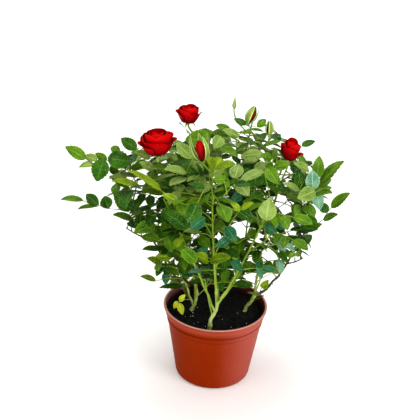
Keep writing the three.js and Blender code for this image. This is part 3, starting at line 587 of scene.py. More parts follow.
stemRadii = [stemRadius(s, lengthOf(c)) for s, c in zip(stems, stemCurves)]
for k, stem in enumerate(stems):
    path = limbPath(stemCurves[k], 0, 1, stemRadii[k], 4 * k, limb["step"], limb["zigzag"])
    growLimbs(f"bark_{stem['name']}", [path], limb["stemSides"], limb["barkRelief"], barkFinish,
              stem["name"])
for k, cane in enumerate(canes):
    path = limbPath(caneCurves[k], 0, cane["entry"], caneRadius(cane), 7 * k, limb["step"],
                    limb["zigzag"] * 0.6)
    growLimbs(f"bark_{cane['name']}", [path], limb["stemSides"], limb["barkRelief"],
              caneFinish(cane, barkFinish), f"bough_{cane['name']}")
print("stems and boughs grown")


# Thorns: small hooked cones set round the canes

thorn = {"spacing": 11, "length": 2.6, "half": 0.75, "point": 0.08, "sides": 8, "hook": -0.35,
         "onStem": (0.25, 1), "onCane": (0.05, 0.75), "seed": 21}


def makeThornTree():
    tree, given, out = newTree("thornTree", {
        "Sides": 8, "Half": 0.001, "Length": 0.003, "Point": 0.0001, "Horn": "Material"})
    cone = newNode(tree, "GeometryNodeMeshCone", {
        "Vertices": given.outputs["Sides"], "Side Segments": 3, "Radius Top": given.outputs["Point"],
        "Radius Bottom": given.outputs["Half"], "Depth": given.outputs["Length"]})
    cones = setOut(tree, newNode(tree, "GeometryNodeMeshToPoints", {"Mesh": given}), cone,
                   pointValue(tree, "turn", "QUATERNION"), pointValue(tree, "size", "FLOAT"))
    feed(tree, out, {0: paint(tree, cones, given.outputs["Horn"])})
    return tree


def thornPoints(limbs):
    draw = seeded(thorn["seed"])
    points, turns, sizes = [], [], []
    for curve, (start, end), radiusAt in limbs:
        count = round(lengthOf(curve) * (end - start) / thorn["spacing"])
        for k in range(count):
            t = start + (end - start) * (k + draw()) / count
            way = wayOn(curve, t)
            away = square(polar(360 * draw(), 1), way)
            lean = unit(away + way * thorn["hook"])
            points.append(onCurve(curve, t) + away * radiusAt(t) * 0.8)
            turns += list(Vector(lean).to_track_quat("Z", "Y"))
            sizes.append(0.6 + 0.5 * draw())
    return pointMesh("thorns", points, turn=("QUATERNION", turns), size=("FLOAT", sizes))


thornyLimbs = [(curve, thorn["onStem"], radius) for curve, radius in zip(stemCurves, stemRadii)]
thornyLimbs += [(caneCurves[k], thorn["onCane"], caneRadius(c)) for k, c in enumerate(canes)]
thorns = runTree("thorns", thornPoints(thornyLimbs), makeThornTree(), {
    "Sides": thorn["sides"], "Half": thorn["half"] * mm, "Length": thorn["length"] * mm,
    "Point": thorn["point"] * mm, "Horn": thornFinish})
settle(thorns, "green_cane")
print("thorns set")


# Flower heads: where they sit, and the size and set of their petals and sepals

openHead = {"girth": 1, "wrap": 0, "core": 1, "dome": 0, "closeFrom": 0.7, "flared": 5, "dark": 3,
            "hip": 1, "slim": 1, "from": 1, "belly": 0.38, "form": "cup"}
shutHead = {**openHead, "petals": 5, "wrap": 50, "belly": 0.40, "low": 0.90, "lip": -0.8,
            "lastLip": -0.9, "closeFrom": 0.45, "form": "bud", "cane": 9}
heads = {
    "bloom_left": {**openHead, "cane": 1, "at": (-75, -30, 318), "width": 42, "height": 25,
                   "lean": -4, "petals": 21, "low": 0.70, "lip": 0.14, "turn": 205, "lastLip": -0.5,
                   "dome": 0.12, "form": "open"},
    "bloom_centre": {**openHead, "cane": 8, "at": (-43, 25, 336), "width": 30, "height": 21,
                     "lean": 3, "petals": 16, "belly": 0.40, "low": 0.74, "lip": 0.13, "turn": 186,
                     "flared": 3, "lastLip": -0.45},
    "bloom_right": {**openHead, "cane": 6, "at": (78, 10, 304), "width": 27, "height": 25,
                    "lean": 12, "petals": 13, "low": 0.58, "lip": 0.26, "turn": 338, "flared": 2,
                    "lastLip": -0.38},
    "bud_front": {**shutHead, "cane": 3, "at": (-25, -60, 325), "width": 13.5, "height": 27,
                  "lean": -12, "petals": 6, "girth": 0.98, "core": 0.98, "lip": -0.62,
                  "closeFrom": 0.55, "turn": 250, "form": "opening", "dark": 6, "sepalWidth": 4.2,
                  "sepals": ((214, 0.5), (322, -0.3), (30, 0.4), (90, 0.3), (150, 0.4))},
    "bud_back_large": {**shutHead, "at": (30, 45, 332), "width": 13, "height": 22, "lean": 20,
                       "girth": 0.74, "core": 0.90, "turn": 280, "sepalWidth": 4.7,
                       "sepals": ((236, 0.0), (338, 0.75), (50, 0.1), (110, 0.1), (170, 0.2))},
    "bud_back_small": {**shutHead, "from": 0.82, "at": (52, 25, 324), "width": 10, "height": 17,
                       "lean": -3, "girth": 0.72, "core": 0.84, "turn": 200, "sepalWidth": 3.7,
                       "sepals": ((296, 0.0), (188, 0.2), (356, 0.3), (60, 0.1), (130, 0.1)),
                       "hip": 1.05},
    "bud_top": {**shutHead, "from": 0.92, "at": (10, 75, 337), "width": 5.4, "height": 15, "lean": 2,
                "petals": 4, "girth": 0.6, "core": 0.6, "turn": 0, "form": "spire",
                "sepals": ((10, 0.1), (82, 0.0), (154, 0.1), (226, 0.0), (298, 0.1)),
                "sepalWidth": 2.0, "hip": 0.7, "slim": 0.75},
}


# The foliage rule, as in the solid model but with more and finer twigs

foliage = {"nodeSpacing": 12, "divergence": 137.5, "leafAngle": 56, "lightward": (0, -0.12, 1),
           "outward": 0.005, "toss": 0.9, "shootAngle": 44, "shootLength": 44, "shootRise": 0.6,
           "shootRadius": 1.0, "reachOver": 18, "lowest": 112, "lowestFront": 0.5, "deepest": 124,
           "clearOfLimb": 1.2, "clearOfLeaf": 2.8, "tries": 6, "tryTurn": 47, "fewestLeaflets": 2,
           "twigletLength": 24, "twigletRise": 0.5, "twigletRadius": 0.6, "extraRise": 0.8,
           "extraRadius": 0.9, "extraSeed": 300, "leafSeed": 100, "tintSeed": 200}
sizeAtHeight = ((110, 180, 250, 310), (0.56, 0.66, 0.82, 0.92))  # leaves are smaller low down
leaf = {"petiole": 14, "step": 14.5, "droop": 0.14, "length": 31, "width": 0.6, "spread": 74,
        "closing": 10, "stalkRadius": 0.68, "sizes": (0.62, 0.73, 0.85, 1.0)}
seenLeaves = [  # leaves that stand out: cane, how far along it, and the foot, tip, width,
    # turn and tint of each leaflet
    (0, 0.93, [((-158, -14, 289), (-179, -22, 306), 0.52, 18, "mid"),
        ((-149, -14, 283), (-164, -24, 284), 0.52, 37, "sage"),
        ((-145, -12, 287), (-162, -4, 290), 0.52, 17, "sage"),
        ((-138, -14, 290), (-143, -32, 270), 0.77, 0, "deep"),
        ((-134, -10, 287), (-149, -4, 293), 0.55, 0, "mid")]),
    (0, 0.97, [((-133, -12, 291), (-105, -24, 292), 0.63, 0, "deep"),
        ((-119, -8, 298), (-132, -2, 300), 0.64, 0, "mid"),
        ((-131, -6, 278), (-122, -2, 266), 0.67, 0, "deep")]),
    (1, 0.95, [((-98, -26, 309), (-117, -20, 319), 0.62, 0, "deep"),
        ((-82, -34, 302), (-97, -42, 313), 0.52, 30, "sage")]),
    (0, 0.84, [((-109, -12, 258), (-128, -22, 273), 0.52, 29, "mid"),
        ((-100, -14, 271), (-130, -24, 275), 0.52, 65, "sage")]),
    (3, 0.66, [((-64, -92, 288), (-97, -98, 315), 0.52, 71, "young"),
        ((-46, -90, 275), (-64, -84, 282), 0.52, 34, "young"),
        ((-37, -84, 270), (-19, -78, 274), 0.52, 31, "young")]),
    (1, 0.74, [((-64, -50, 265), (-88, -56, 273), 0.52, 54, "young"),
        ((-89, -50, 270), (-119, -60, 288), 0.52, 69, "young")]),
    (0, 0.66, [((-160, -22, 239), (-184, -30, 247), 0.52, 60, "mid"),
        ((-143, -18, 233), (-160, -10, 243), 0.57, 0, "deep"),
        ((-144, -18, 231), (-166, -28, 233), 0.52, 62, "mid"),
        ((-132, -16, 228), (-138, -8, 241), 0.85, 0, "deep")]),
    (0, 0.7, [((-104, -14, 228), (-124, -24, 252), 0.59, 0, "deep"),
        ((-106, -14, 224), (-92, -6, 242), 0.52, 30, "deep")]),
    (0, 0.6, [((-102, -12, 212), (-124, -20, 226), 0.52, 60, "mid")]),
    (0, 0.44, [((-69, -12, 175), (-90, -20, 182), 0.52, 61, "mid")]),
    (0, 0.36, [((-68, -20, 160), (-83, -26, 172), 0.52, 47, "young")]),
    (2, 0.45, [((-73, -30, 142), (-90, -34, 152), 0.52, 58, "young")]),
    (2, 0.3, [((-40, -28, 135), (-68, -36, 139), 0.52, 66, "deep")]),
    (3, 0.52, [((-35, -84, 242), (-62, -92, 266), 0.52, 32, "deep"),
        ((-32, -84, 241), (-16, -74, 252), 0.59, 0, "teal"),
        ((-20, -82, 235), (-38, -92, 243), 0.52, 61, "sage")]),
    (3, 0.36, [((-24, -80, 198), (-43, -84, 219), 0.51, 0, "mid"),
        ((-24, -72, 199), (-12, -66, 211), 0.52, 0, "teal")]),
    (3, 0.33, [((-9, -80, 200), (11, -92, 215), 0.52, 46, "young"),
        ((-11, -80, 200), (-23, -93, 215), 0.52, 43, "young")]),
    (3, 0.99, [((-10, -66, 306), (-15, -84, 325), 0.52, 45, "young"),
        ((-7, -66, 307), (12, -80, 320), 0.52, 46, "young"),
        ((-9, -64, 308), (-2, -54, 316), 0.67, 0, "young")]),
    (3, 0.38, [((21, -92, 271), (11, -98, 281), 0.52, 24, "young"),
        ((22, -92, 272), (34, -96, 283), 0.52, 42, "young")]),
    (3, 0.64, [((-4, -64, 253), (12, -78, 252), 0.52, 45, "mid")]),
    (3, 0.56, [((-6, -60, 231), (2, -76, 246), 0.52, 58, "mid")]),
    (4, 0.62, [((50, -86, 257), (52, -84, 281), 0.76, 0, "sage")]),
    (3, 0.45, [((7, -72, 241), (18, -86, 231), 0.61, 0, "teal"),
        ((11, -76, 228), (-2, -88, 223), 0.6, 0, "teal")]),
    (4, 0.4, [((17, -68, 197), (27, -80, 190), 0.61, 0, "teal")]),
    (4, 0.85, [((23, -52, 272), (11, -64, 268), 0.58, 0, "teal")]),
    (7, 0.97, [((110, -8, 278), (111, 2, 302), 0.55, 0, "mid"),
        ((113, -10, 268), (131, -14, 306), 0.52, 65, "mid"),
        ((113, -8, 266), (127, 0, 276), 0.52, 32, "mid")]),
    (7, 0.93, [((105, -20, 269), (102, -24, 292), 0.65, 0, "mist"),
        ((109, -14, 264), (115, -26, 247), 0.59, 0, "mist"),
        ((107, -24, 269), (87, -40, 266), 0.66, 0, "sage")]),
    (6, 0.93, [((93, -16, 268), (86, -18, 290), 0.66, 0, "deep"),
        ((99, -12, 288), (83, -20, 301), 0.52, 39, "sage"),
        ((89, -24, 269), (70, -34, 281), 0.52, 51, "sage")]),
    (6, 0.97, [((91, 20, 306), (107, 26, 312), 0.52, 26, "deep")]),
    (7, 0.62, [((131, 2, 237), (149, -2, 260), 0.52, 46, "mid"),
        ((123, 0, 222), (137, -10, 235), 0.52, 41, "mid"),
        ((127, 2, 230), (118, 8, 241), 0.78, 0, "deep"),
        ((116, 0, 215), (102, -4, 227), 0.57, 0, "deep"),
        ((110, 0, 207), (120, -8, 220), 0.52, 39, "mid")]),
    (7, 0.6, [((106, -2, 204), (84, -14, 214), 0.52, 59, "deep")]),
    (7, 0.08, [((56, -10, 129), (62, -16, 143), 0.53, 0, "young")]),
    (8, 0.93, [((-15, -2, 318), (-43, -12, 319), 0.66, 0, "mid"),
        ((-4, -2, 321), (-11, -14, 311), 0.78, 0, "sage")]),
    (9, 0.9, [((7, 30, 316), (-11, 36, 322), 0.52, 24, "mid"),
        ((17, 20, 314), (-2, 14, 324), 0.52, 25, "sage")]),
    (9, 0.95, [((25, 44, 320), (10, 50, 326), 0.52, 17, "deep"),
        ((38, 36, 321), (48, 40, 330), 0.69, 0, "mid")]),
    (3, 0.92, [((-33, -50, 311), (-53, -44, 326), 0.53, 0, "sage"),
        ((-40, -60, 298), (-62, -76, 308), 0.52, 49, "sage")]),
    (3, 0.88, [((-40, -64, 293), (-56, -84, 296), 0.52, 56, "sage"),
        ((-15, -64, 296), (-38, -82, 299), 0.52, 69, "sage")]),
    (1, 0.97, [((-78, -34, 288), (-92, -44, 301), 0.52, 28, "sage"),
        ((-51, -30, 301), (-64, -36, 310), 0.52, 40, "sage")]),
    (4, 0.96, [((45, -44, 299), (19, -66, 294), 0.52, 51, "sage"),
        ((48, -44, 302), (62, -66, 293), 0.52, 0, "mid")]),
    (6, 0.9, [((58, -20, 293), (74, -26, 302), 0.58, 0, "mid"),
        ((63, -20, 271), (38, -30, 283), 0.52, 43, "deep")]),
    (9, 0.8, [((20, -6, 298), (43, -16, 311), 0.52, 45, "sage")]),
]
crown = {"middle": 8, "heights": (100, 148, 180, 205, 232, 247, 270, 290, 305, 325),
         "reaches": (58, 86, 100, 113, 134, 168, 152, 130, 112, 72)}

# What stays open to view: lines, each with a start, an end and a reach round it

front = np.array([0, -0.887, 0.462])  # the way the bush is looked at
view = {"length": 90, "width": 5, "leafStart": 8, "leafLength": 45, "soilLength": 144, "soilWidth": 7,
        "barePlaces": 12, "bareCanes": ((3, 0.02, 0.96), (4, 0.02, 0.62), (5, 0.02, 0.3),
                                        (0, 0.02, 0.16)),
        "bareSoil": ((31, 50), (-5, 58), (16, 55), (42, 32), (-22, 50)), "soilHeight": 90}
openings = [
    ((-150, -14, 262), (-150, -14, 263), 22), ((150, -4, 276), (150, -4, 277), 12),
    ((62, -110, 325), (80, 130, 227), 7), ((66, -110, 290), (85, 130, 182), 8),
    ((23, -110, 258), (29, 130, 141), 9), ((78, -110, 260), (100, 130, 144), 6),
    ((58, -110, 226), (75, 130, 99), 6), ((88, -110, 221), (113, 130, 93), 6),
    ((49, -110, 298), (63, 130, 193), 5), ((-25, -110, 246), (-32, 130, 125), 5),
    ((-75, -110, 285), (-96, 130, 176), 4), ((88, -110, 344), (114, 130, 252), 6),
    ((80, -110, 350), (104, 130, 260), 5), ((-44, -110, 365), (-57, 130, 278), 6),
    ((51, -90, 176), (61, 70, 85), 7), ((66, -90, 171), (79, 70, 78), 8),
    ((39, -90, 187), (47, 70, 98), 6), ((58, -90, 187), (69, 70, 97), 7),
    ((65, -110, 366), (84, 130, 279), 5), ((74, -110, 368), (95, 130, 283), 5),
    ((92, -110, 351), (118, 130, 261), 5), ((-41, -110, 359), (-53, 130, 270), 5),
]


def keepOpen(spot, start, length, width):
    openings.append((spot + front * start, spot + front * length, width))


for index, start, end in view["bareCanes"]:
    for k in range(view["barePlaces"]):
        share = start + (end - start) * k / (view["barePlaces"] - 1)
        keepOpen(onCurve(caneCurves[index], share), 0, view["length"], view["width"])
for x, y in view["bareSoil"]:
    keepOpen(np.array([x, y, view["soilHeight"]]), 0, view["soilLength"], view["soilWidth"])
for head in heads.values():
    keepOpen(np.array(head["at"]), 0, view["length"], head["width"] / 2 + 1)
limbSpots = [onCurve(curve, j / 40) for curve in caneCurves for j in range(41)]
limbRadii = [caneRadius(cane)(j / 40) for cane in canes for j in range(41)]


def leaning(way, bearing, degrees):
    away = square(polar(bearing, 1), way)
    angle = math.radians(degrees)
    return way * math.cos(angle) + away * math.sin(angle)


def risingShoot(foot, way, length, rise):
    # a curve that sets off along way and then bends up
    middle = foot + way * length * 0.5
    return foot, middle, middle + unit(way + (0, 0, rise)) * length * 0.5


def sideShoots(index):
    cane, curve = canes[index], caneCurves[index]
    draw = seeded(cane["seed"])
    shoots = []
    for k in range(cane["shoots"]):
        share = cane["entry"] + 0.06 + (0.84 - cane["entry"]) * (k + 0.4) / cane["shoots"]
        bearing = cane["turn"] + foliage["divergence"] * k + 30 * (draw() - 0.5)
        length = foliage["shootLength"] * (0.85 + 0.35 * draw())
        way = leaning(wayOn(curve, share), bearing, foliage["shootAngle"] + 12 * (draw() - 0.5))
        shoots.append(risingShoot(onCurve(curve, share), way, length, foliage["shootRise"]))
    return shoots


def twiglets(shoot, turn, draw):
    # finer twigs that leave a side shoot
    made = []
    for k, share in enumerate((0.35, 0.7)):
        heading = leaning(wayOn(shoot, share), turn + 180 * k + 60 * draw(), 48)
        length = foliage["twigletLength"] * (0.7 + 0.6 * draw())
        made.append((share, risingShoot(onCurve(shoot, share), heading, length,
                                        foliage["twigletRise"])))
    return made


def facing(foot, tossX=0.0, tossY=0.0):
    out = foliage["outward"] * foot
    x, y, z = foliage["lightward"]
    return np.array([x + out[0] + tossX, y + out[1] + tossY, z])


def compoundLeaf(foot, way, face, size, pairs):
    # a stalk with pairs of leaflets and one more at its end
    joints, leaflets = [foot], []
    ahead, at = unit(way), foot
    for k in range(pairs + 1):
        at = at + ahead * (leaf["step"] if k else leaf["petiole"]) * size
        joints.append(at)
        up = square(face, ahead)
        across = np.cross(ahead, up)
        blade = {"base": at, "length": leaf["length"] * leaf["sizes"][3 - pairs + k] * size,
                 "joint": k}
        if k == pairs:
            leaflets.append({**blade, "way": ahead, "up": up})
            break
        spread = math.radians(leaf["spread"] - leaf["closing"] * k)
        for hand in (-1, 1):
            side = unit(ahead * math.cos(spread) + across * hand * math.sin(spread) - 0.12 * up)
            leaflets.append({**blade, "way": side, "up": square(up, side)})
        ahead = unit(ahead - (0, 0, leaf["droop"]))
    return joints, leaflets


bladeSpots = ((0.25, 0, 0.2), (0.5, 0, 0.2), (0.75, 0, 0.2), (1, 0, -0.6), (0.26, -0.86, 0.9),
              (0.68, -0.84, 0.8), (0.68, 0.84, 0.8), (0.26, 0.86, 0.9))


def spotsOf(blade):
    # four places down the middle of a blade and four on its edge
    half = blade["length"] * blade.get("wide", leaf["width"]) / 2
    across = np.cross(blade["way"], blade["up"])
    return np.array([blade["base"] + blade["way"] * far * blade["length"] + across * out * half
                     + blade["up"] * up * 0.075 * blade["length"] for far, out, up in bladeSpots])


takenSpots = []


def gapsTo(spots, places):
    return np.linalg.norm(spots[:, None] - np.array(places)[None], axis=2)


def hasRoom(spots):
    outline = spots[3:]
    lowest = foliage["lowest"] + foliage["lowestFront"] * np.maximum(0, -outline[:, 1])
    if (outline[:, 2] < lowest).any() or (outline[:, 1] > foliage["deepest"]).any():
        return False
    reach = np.interp(outline[:, 2], crown["heights"], crown["reaches"], right=0)
    if (np.hypot(outline[:, 0] - crown["middle"], outline[:, 1]) > reach).any():
        return False
    share = ((outline[:, None] - openStart) * openLine).sum(axis=2) / (openLine ** 2).sum(axis=1)
    gaps = outline[:, None] - openStart - np.clip(share, 0, 1)[:, :, None] * openLine
    if (np.linalg.norm(gaps, axis=2) < openReach).any():
        return False
    if (gapsTo(spots, limbSpots) < np.array(limbRadii)[None] + foliage["clearOfLimb"]).any():
        return False
    return gapsTo(spots, np.concatenate(takenSpots)).min() > foliage["clearOfLeaf"]


def setLeaf(foot, way, face, size, pairs):
    joints, leaflets = compoundLeaf(foot, way, face, size, pairs)
    found = [blade for blade in leaflets if hasRoom(spotsOf(blade))]
    if len(found) < foliage["fewestLeaflets"]:
        return None
    takenSpots.extend(spotsOf(blade) for blade in found)
    last = max(blade["joint"] for blade in found)
    return {"joints": joints[:last + 2], "blades": found, "size": size}


def nearest(places, spot):
    return np.linalg.norm(places - spot, axis=1).min()


def leavesAlong(index, curve, start, end, turn, draw, scale=1.0):
    # leaves in a spiral, each tried at several bearings until it has room in its own space
    count = max(2, round(lengthOf(curve) * (end - start) / foliage["nodeSpacing"]))
    leaves = []
    for k in range(count):
        share = start + (end - start) * (k + 0.6) / count
        bearing = turn + foliage["divergence"] * k + 24 * (draw() - 0.5)
        lean = foliage["leafAngle"] + 16 * (draw() - 0.5)
        size = (0.85 + 0.3 * draw()) * scale
        pairs = 2 if draw() > 0.2 else 1
        tossX, tossY = foliage["toss"] * (draw() - 0.5), foliage["toss"] * (draw() - 0.5)
        foot, way = onCurve(curve, share), wayOn(curve, share)
        size *= np.interp(foot[2], *sizeAtHeight)
        for n in range(foliage["tries"]):
            heading = leaning(way, bearing + n * foliage["tryTurn"], lean) * (1, 1, 0.6)
            middle = foot + heading * 2 * leaf["petiole"]
            own = nearest(spaces[index], middle) - foliage["reachOver"]
            if any(nearest(s, middle) < own for i, s in enumerate(spaces) if i != index):
                continue
            found = setLeaf(foot, heading, facing(foot, tossX, tossY), size, pairs)
            if found:
                leaves.append({**found, "share": share})
                break
    return leaves


shootCurves = [sideShoots(k) for k in range(len(canes))]
for shoots in shootCurves:
    for shoot in shoots:
        limbSpots += [onCurve(shoot, j / 5) for j in range(1, 6)]
        limbRadii += [foliage["shootRadius"]] * 5
spaces = []
for k, cane in enumerate(canes):
    places = [onCurve(caneCurves[k], cane["entry"] + (1 - cane["entry"]) * j / 10) for j in range(11)]
    places += [onCurve(shoot, j / 4) for shoot in shootCurves[k] for j in range(1, 5)]
    spaces.append(np.array(places))


def farthest(leaves):
    # where the last leaf of a twig sits, which is where the twig ends
    return min(1, max(item["share"] for item in leaves) + 0.02)


def seenLeaf(curve, share, leaflets):
    # its stalk bends up from the cane and then runs on from leaflet to leaflet
    foot = onCurve(curve, share)
    blades = []
    for base, tip, wide, turn, tint in leaflets:
        base, tip = np.array(base, float), np.array(tip, float)
        way = unit(tip - base)
        up = square(front, way)
        across = np.cross(way, up)
        angle = math.radians(turn) * (1 if across[2] > 0 else -1)
        blades.append({"base": base, "way": way, "up": up * math.cos(angle) + across * math.sin(angle),
                       "length": float(np.linalg.norm(tip - base)), "wide": wide, "tint": tint})
    blades.sort(key=lambda b: np.linalg.norm(b["base"] - foot))
    near = blades[0]["base"]
    middle = (foot + near) / 2 + (0, 0, 0.12 * np.linalg.norm(near - foot))
    joints = [onCurve((foot, middle, near), j / 6) for j in range(7)]
    joints += [b["base"] for b in blades[1:]]
    for b in blades:
        spots = spotsOf(b)
        takenSpots.append(spots)
        keepOpen(spots[1], view["leafStart"], view["leafLength"], view["width"])
    return {"joints": joints, "blades": blades, "size": 1.0}


masses = [{"leaves": [], "twigs": []} for _ in canes]
for index, share, leaflets in seenLeaves:
    masses[index]["leaves"].append(seenLeaf(caneCurves[index], share, leaflets))
openStart, openEnd, openReach = (np.array(column, float) for column in zip(*openings))
openLine = openEnd - openStart
for k, (cane, mass, curve) in enumerate(zip(canes, masses, caneCurves)):
    draw = seeded(cane["seed"] + foliage["leafSeed"])
    turn = cane["turn"]
    mass["leaves"] += leavesAlong(k, curve, cane["entry"] + 0.02, 0.99, turn + 70, draw)
    mass["leaves"] += leavesAlong(k, curve, 0.04, cane["entry"], turn + 190, draw, 0.9)
    for j, shoot in enumerate(shootCurves[k]):
        own = leavesAlong(k, shoot, 0.2, 1, turn + 137 * j, draw)
        for base, twiglet in twiglets(shoot, turn + 70 * j, draw):
            more = leavesAlong(k, twiglet, 0.5, 1, turn, draw, 0.8)
            if more:
                mass["twigs"].append((twiglet, farthest(more), foliage["twigletRadius"]))
                own += [{**item, "share": base} for item in more]
        if own:
            mass["twigs"].append((shoot, farthest(own), foliage["shootRadius"]))
        mass["leaves"] += own

# Leafy shoots besides those of the solid model

lowShoots = [  # cane whose foliage it joins, how far up the stem, bearing, length and lean
    (3, 0.85, -150, 62, 24), (3, 0.95, -20, 58, 20), (4, 0.60, -60, 60, 32), (5, 0.50, 200, 60, 30),
    (1, 0.50, 240, 62, 26), (1, 0.85, -40, 60, 24), (2, 0.60, 130, 46, 34), (0, 0.70, 90, 56, 32),
    (6, 0.45, 250, 56, 28), (6, 0.85, 100, 56, 28), (7, 0.70, -50, 52, 36), (8, 0.50, 200, 66, 28),
    (9, 0.40, -60, 70, 24), (11, 0.50, 10, 60, 34), (10, 0.60, 150, 60, 34), (8, 0.80, -90, 64, 24),
]
highShoots = [  # the same, but from the cane itself
    (9, 0.45, 95, 70, 40), (9, 0.65, 110, 60, 48), (10, 0.55, 70, 62, 34), (11, 0.5, 125, 62, 38),
    (10, 0.75, 60, 46, 50), (11, 0.3, 80, 60, 30), (10, 0.3, 110, 60, 30), (3, 0.90, -100, 50, 60),
]


def extraShoot(index, curve, at, bearing, length, lean):
    heading = leaning(wayOn(curve, at), bearing, lean)
    shoot = risingShoot(onCurve(curve, at), heading, length, foliage["extraRise"])
    draw = seeded(foliage["extraSeed"] + bearing)
    grown = leavesAlong(index, shoot, 0.3, 1, bearing, draw, 0.95)
    if grown:
        masses[index]["leaves"] += grown
        masses[index]["twigs"].append((shoot, farthest(grown), foliage["extraRadius"]))


for index, *values in lowShoots:
    extraShoot(index, stemCurves[canes[index]["stem"]], *values)
for index, *values in highShoots:
    extraShoot(index, caneCurves[index], *values)
allLeaves = [item for mass in masses for item in mass["leaves"]]
print("leaves set:", len(allLeaves), "with", sum(len(item["blades"]) for item in allLeaves), "leaflets")


# Leaflets: a few shapes of blade, set out on points by Geometry Nodes

blade = {"shapes": 6, "teeth": 8, "toothDepth": 0.10, "toothLean": 0.03, "fold": 0.42, "arch": 0.10,
         "pleat": 0.007, "seed": 40}


def bladeShape(name, seed):
    # unit length along X, its upper side towards Z, folded along the rib
    draw = seeded(seed)
    width = leaf["width"] / 2 * (0.92 + 0.2 * draw())
    widest = 0.76 + 0.12 * draw()
    arch = blade["arch"] * (0.4 + 1.6 * draw())
    fold = blade["fold"] * (0.5 + draw())
    skew = 0.05 * (draw() - 0.5)
    rows = 2 * blade["teeth"]
    points, maps = [], []
    for i in range(rows + 1):
        s = i / rows
        half = width * math.sin(math.pi * s ** widest) ** 0.74 if 0 < i < rows else 0.004
        tooth = 1 + blade["toothDepth"] * (0.5 if i % 2 else -0.5)
        for side in (-1, 0, 1):
            y = side * half * tooth
            x = s + (blade["toothLean"] if side and i % 2 else 0) * min(1, half / width)
            z = fold * abs(y) * (1 - 0.5 * abs(y) / width) - arch * s * s
            z += blade["pleat"] * math.cos(math.pi * i) * abs(side)
            points.append((x, y + skew * math.sin(math.pi * s), z))
            maps.append((0.5 + 0.5 * side, s))
    mesh = meshFrom(name, points, [(i * 3 + j, i * 3 + j + 3, i * 3 + j + 4, i * 3 + j + 1)
                                   for i in range(rows) for j in range(2)])
    addMap(mesh, "blade", maps)
    return mesh


bladeShapes = bpy.data.collections.new("bladeShapes")
for k in range(blade["shapes"]):
    shape = bladeShape(f"blade_{k}", blade["seed"] + k)
    bladeShapes.objects.link(bpy.data.objects.new(shape.name, shape))


def makeLeafTree():
    # one blade shape on each point, turned, sized and tinted by the point's own values
    tints = {f"Tint {k}": "Material" for k in range(len(leafFinishes))}
    tree, given, out = newTree("leafTree", {"Shapes": "Collection", **tints})
    shapes = newNode(tree, "GeometryNodeCollectionInfo", {
        "Collection": given.outputs["Shapes"], "Separate Children": True, "Reset Children": True})
    spots = newNode(tree, "GeometryNodeMeshToPoints", {"Mesh": given})
    picks = {"Pick Instance": True, "Instance Index": pointValue(tree, "shape", "INT")}
    geometry = setOut(tree, spots, shapes, pointValue(tree, "turn", "QUATERNION"),
                      pointValue(tree, "size", "FLOAT_VECTOR"), picks)
    tint = pointValue(tree, "tint", "INT")
    for k, label in enumerate(tints):
        same = newNode(tree, "FunctionNodeCompare", {2: tint, 3: k}, data_type="INT",
                       operation="EQUAL")
        geometry = paint(tree, geometry, given.outputs[label], same)
    feed(tree, out, {0: geometry})
    return tree


leafTree = makeLeafTree()


def bladePoints(name, blades):
    # a point for each blade: where it is, how it is turned, its size, shape and tint
    turns, sizes = [], []
    for b in blades:
        across = np.cross(b["up"], b["way"])
        turns += list(Matrix(np.array([b["way"], across, b["up"]]).T).to_quaternion())
        broad = b.get("wide", leaf["width"]) / leaf["width"]
        sizes += [b["length"] * mm * s for s in (1, broad, 1)]
    return pointMesh(name, [b["base"] for b in blades], turn=("QUATERNION", turns),
                     size=("FLOAT_VECTOR", sizes), shape=("INT", [b["shape"] for b in blades]),
                     tint=("INT", [b["tint"] for b in blades]))


tinting = {"young": 0.025, "sage": 0.45, "bluish": 0.24, "mistShare": 0.3, "deepShare": 0.42}


def tintOf(spot, draw):
    # the pale sheen tint, a painted highlight, high up and low down; teal low down and to the right;
    # young at a few tips
    lit = max((spot[2] - 215) / 110, (200 - spot[2]) / 105)
    low = (215 - spot[2]) / 130 + spot[0] / 220
    chance = draw()
    if chance < tinting["young"]:
        return "young"
    if chance < tinting["young"] + tinting["sage"] * max(0, lit):
        return "sage"
    if chance > 1 - tinting["bluish"] * max(0, min(1, low)):
        return "mist" if draw() < tinting["mistShare"] else "teal"
    return "deep" if draw() < tinting["deepShare"] else "mid"


def dressMass(name, leaves, seed, slotName, node):
    # sets the leaflets out as one piece, and gives back the paths of their stalks
    draw = seeded(seed)
    blades, stalks = [], []
    for item in leaves:
        shade = tintOf(item["joints"][-1], draw)
        thick = leaf["stalkRadius"] * item["size"] ** 0.5
        stalks.append([(p, thick * (1.5 if j == 0 else 1.0 - 0.08 * min(j, 5)))
                       for j, p in enumerate(item["joints"])])
        for b in item["blades"]:
            blades.append({**b, "shape": int(draw() * blade["shapes"]),
                           "tint": tintNames.index(b.get("tint", shade))})
    tints = {f"Tint {k}": finish for k, finish in enumerate(leafFinishes)}
    piece = runTree(f"leaves_{name}", bladePoints(name, blades), leafTree,
                    {"Shapes": bladeShapes, **tints})
    settle(piece, slotName, node)
    return stalks


for k, (cane, mass) in enumerate(zip(canes, masses)):
    node = f"foliage_{cane['name']}"
    stalks = dressMass(cane["name"], mass["leaves"], cane["seed"] + foliage["tintSeed"],
                       "rose_leaf", node)
    paths = [limbPath(curve, 0, end, lambda t, r=r: r * (1 - 0.4 * t), 5, limb["twigStep"])
             for curve, end, r in mass["twigs"]] + stalks
    paths.append(limbPath(caneCurves[k], cane["entry"], 1, caneRadius(cane), 7 * k,
                          limb["innerStep"]))
    growLimbs(f"twigs_{cane['name']}", paths, limb["twigSides"], limb["twigRelief"],
              caneFinish(cane, twigFinish), node)
print("foliage dressed")

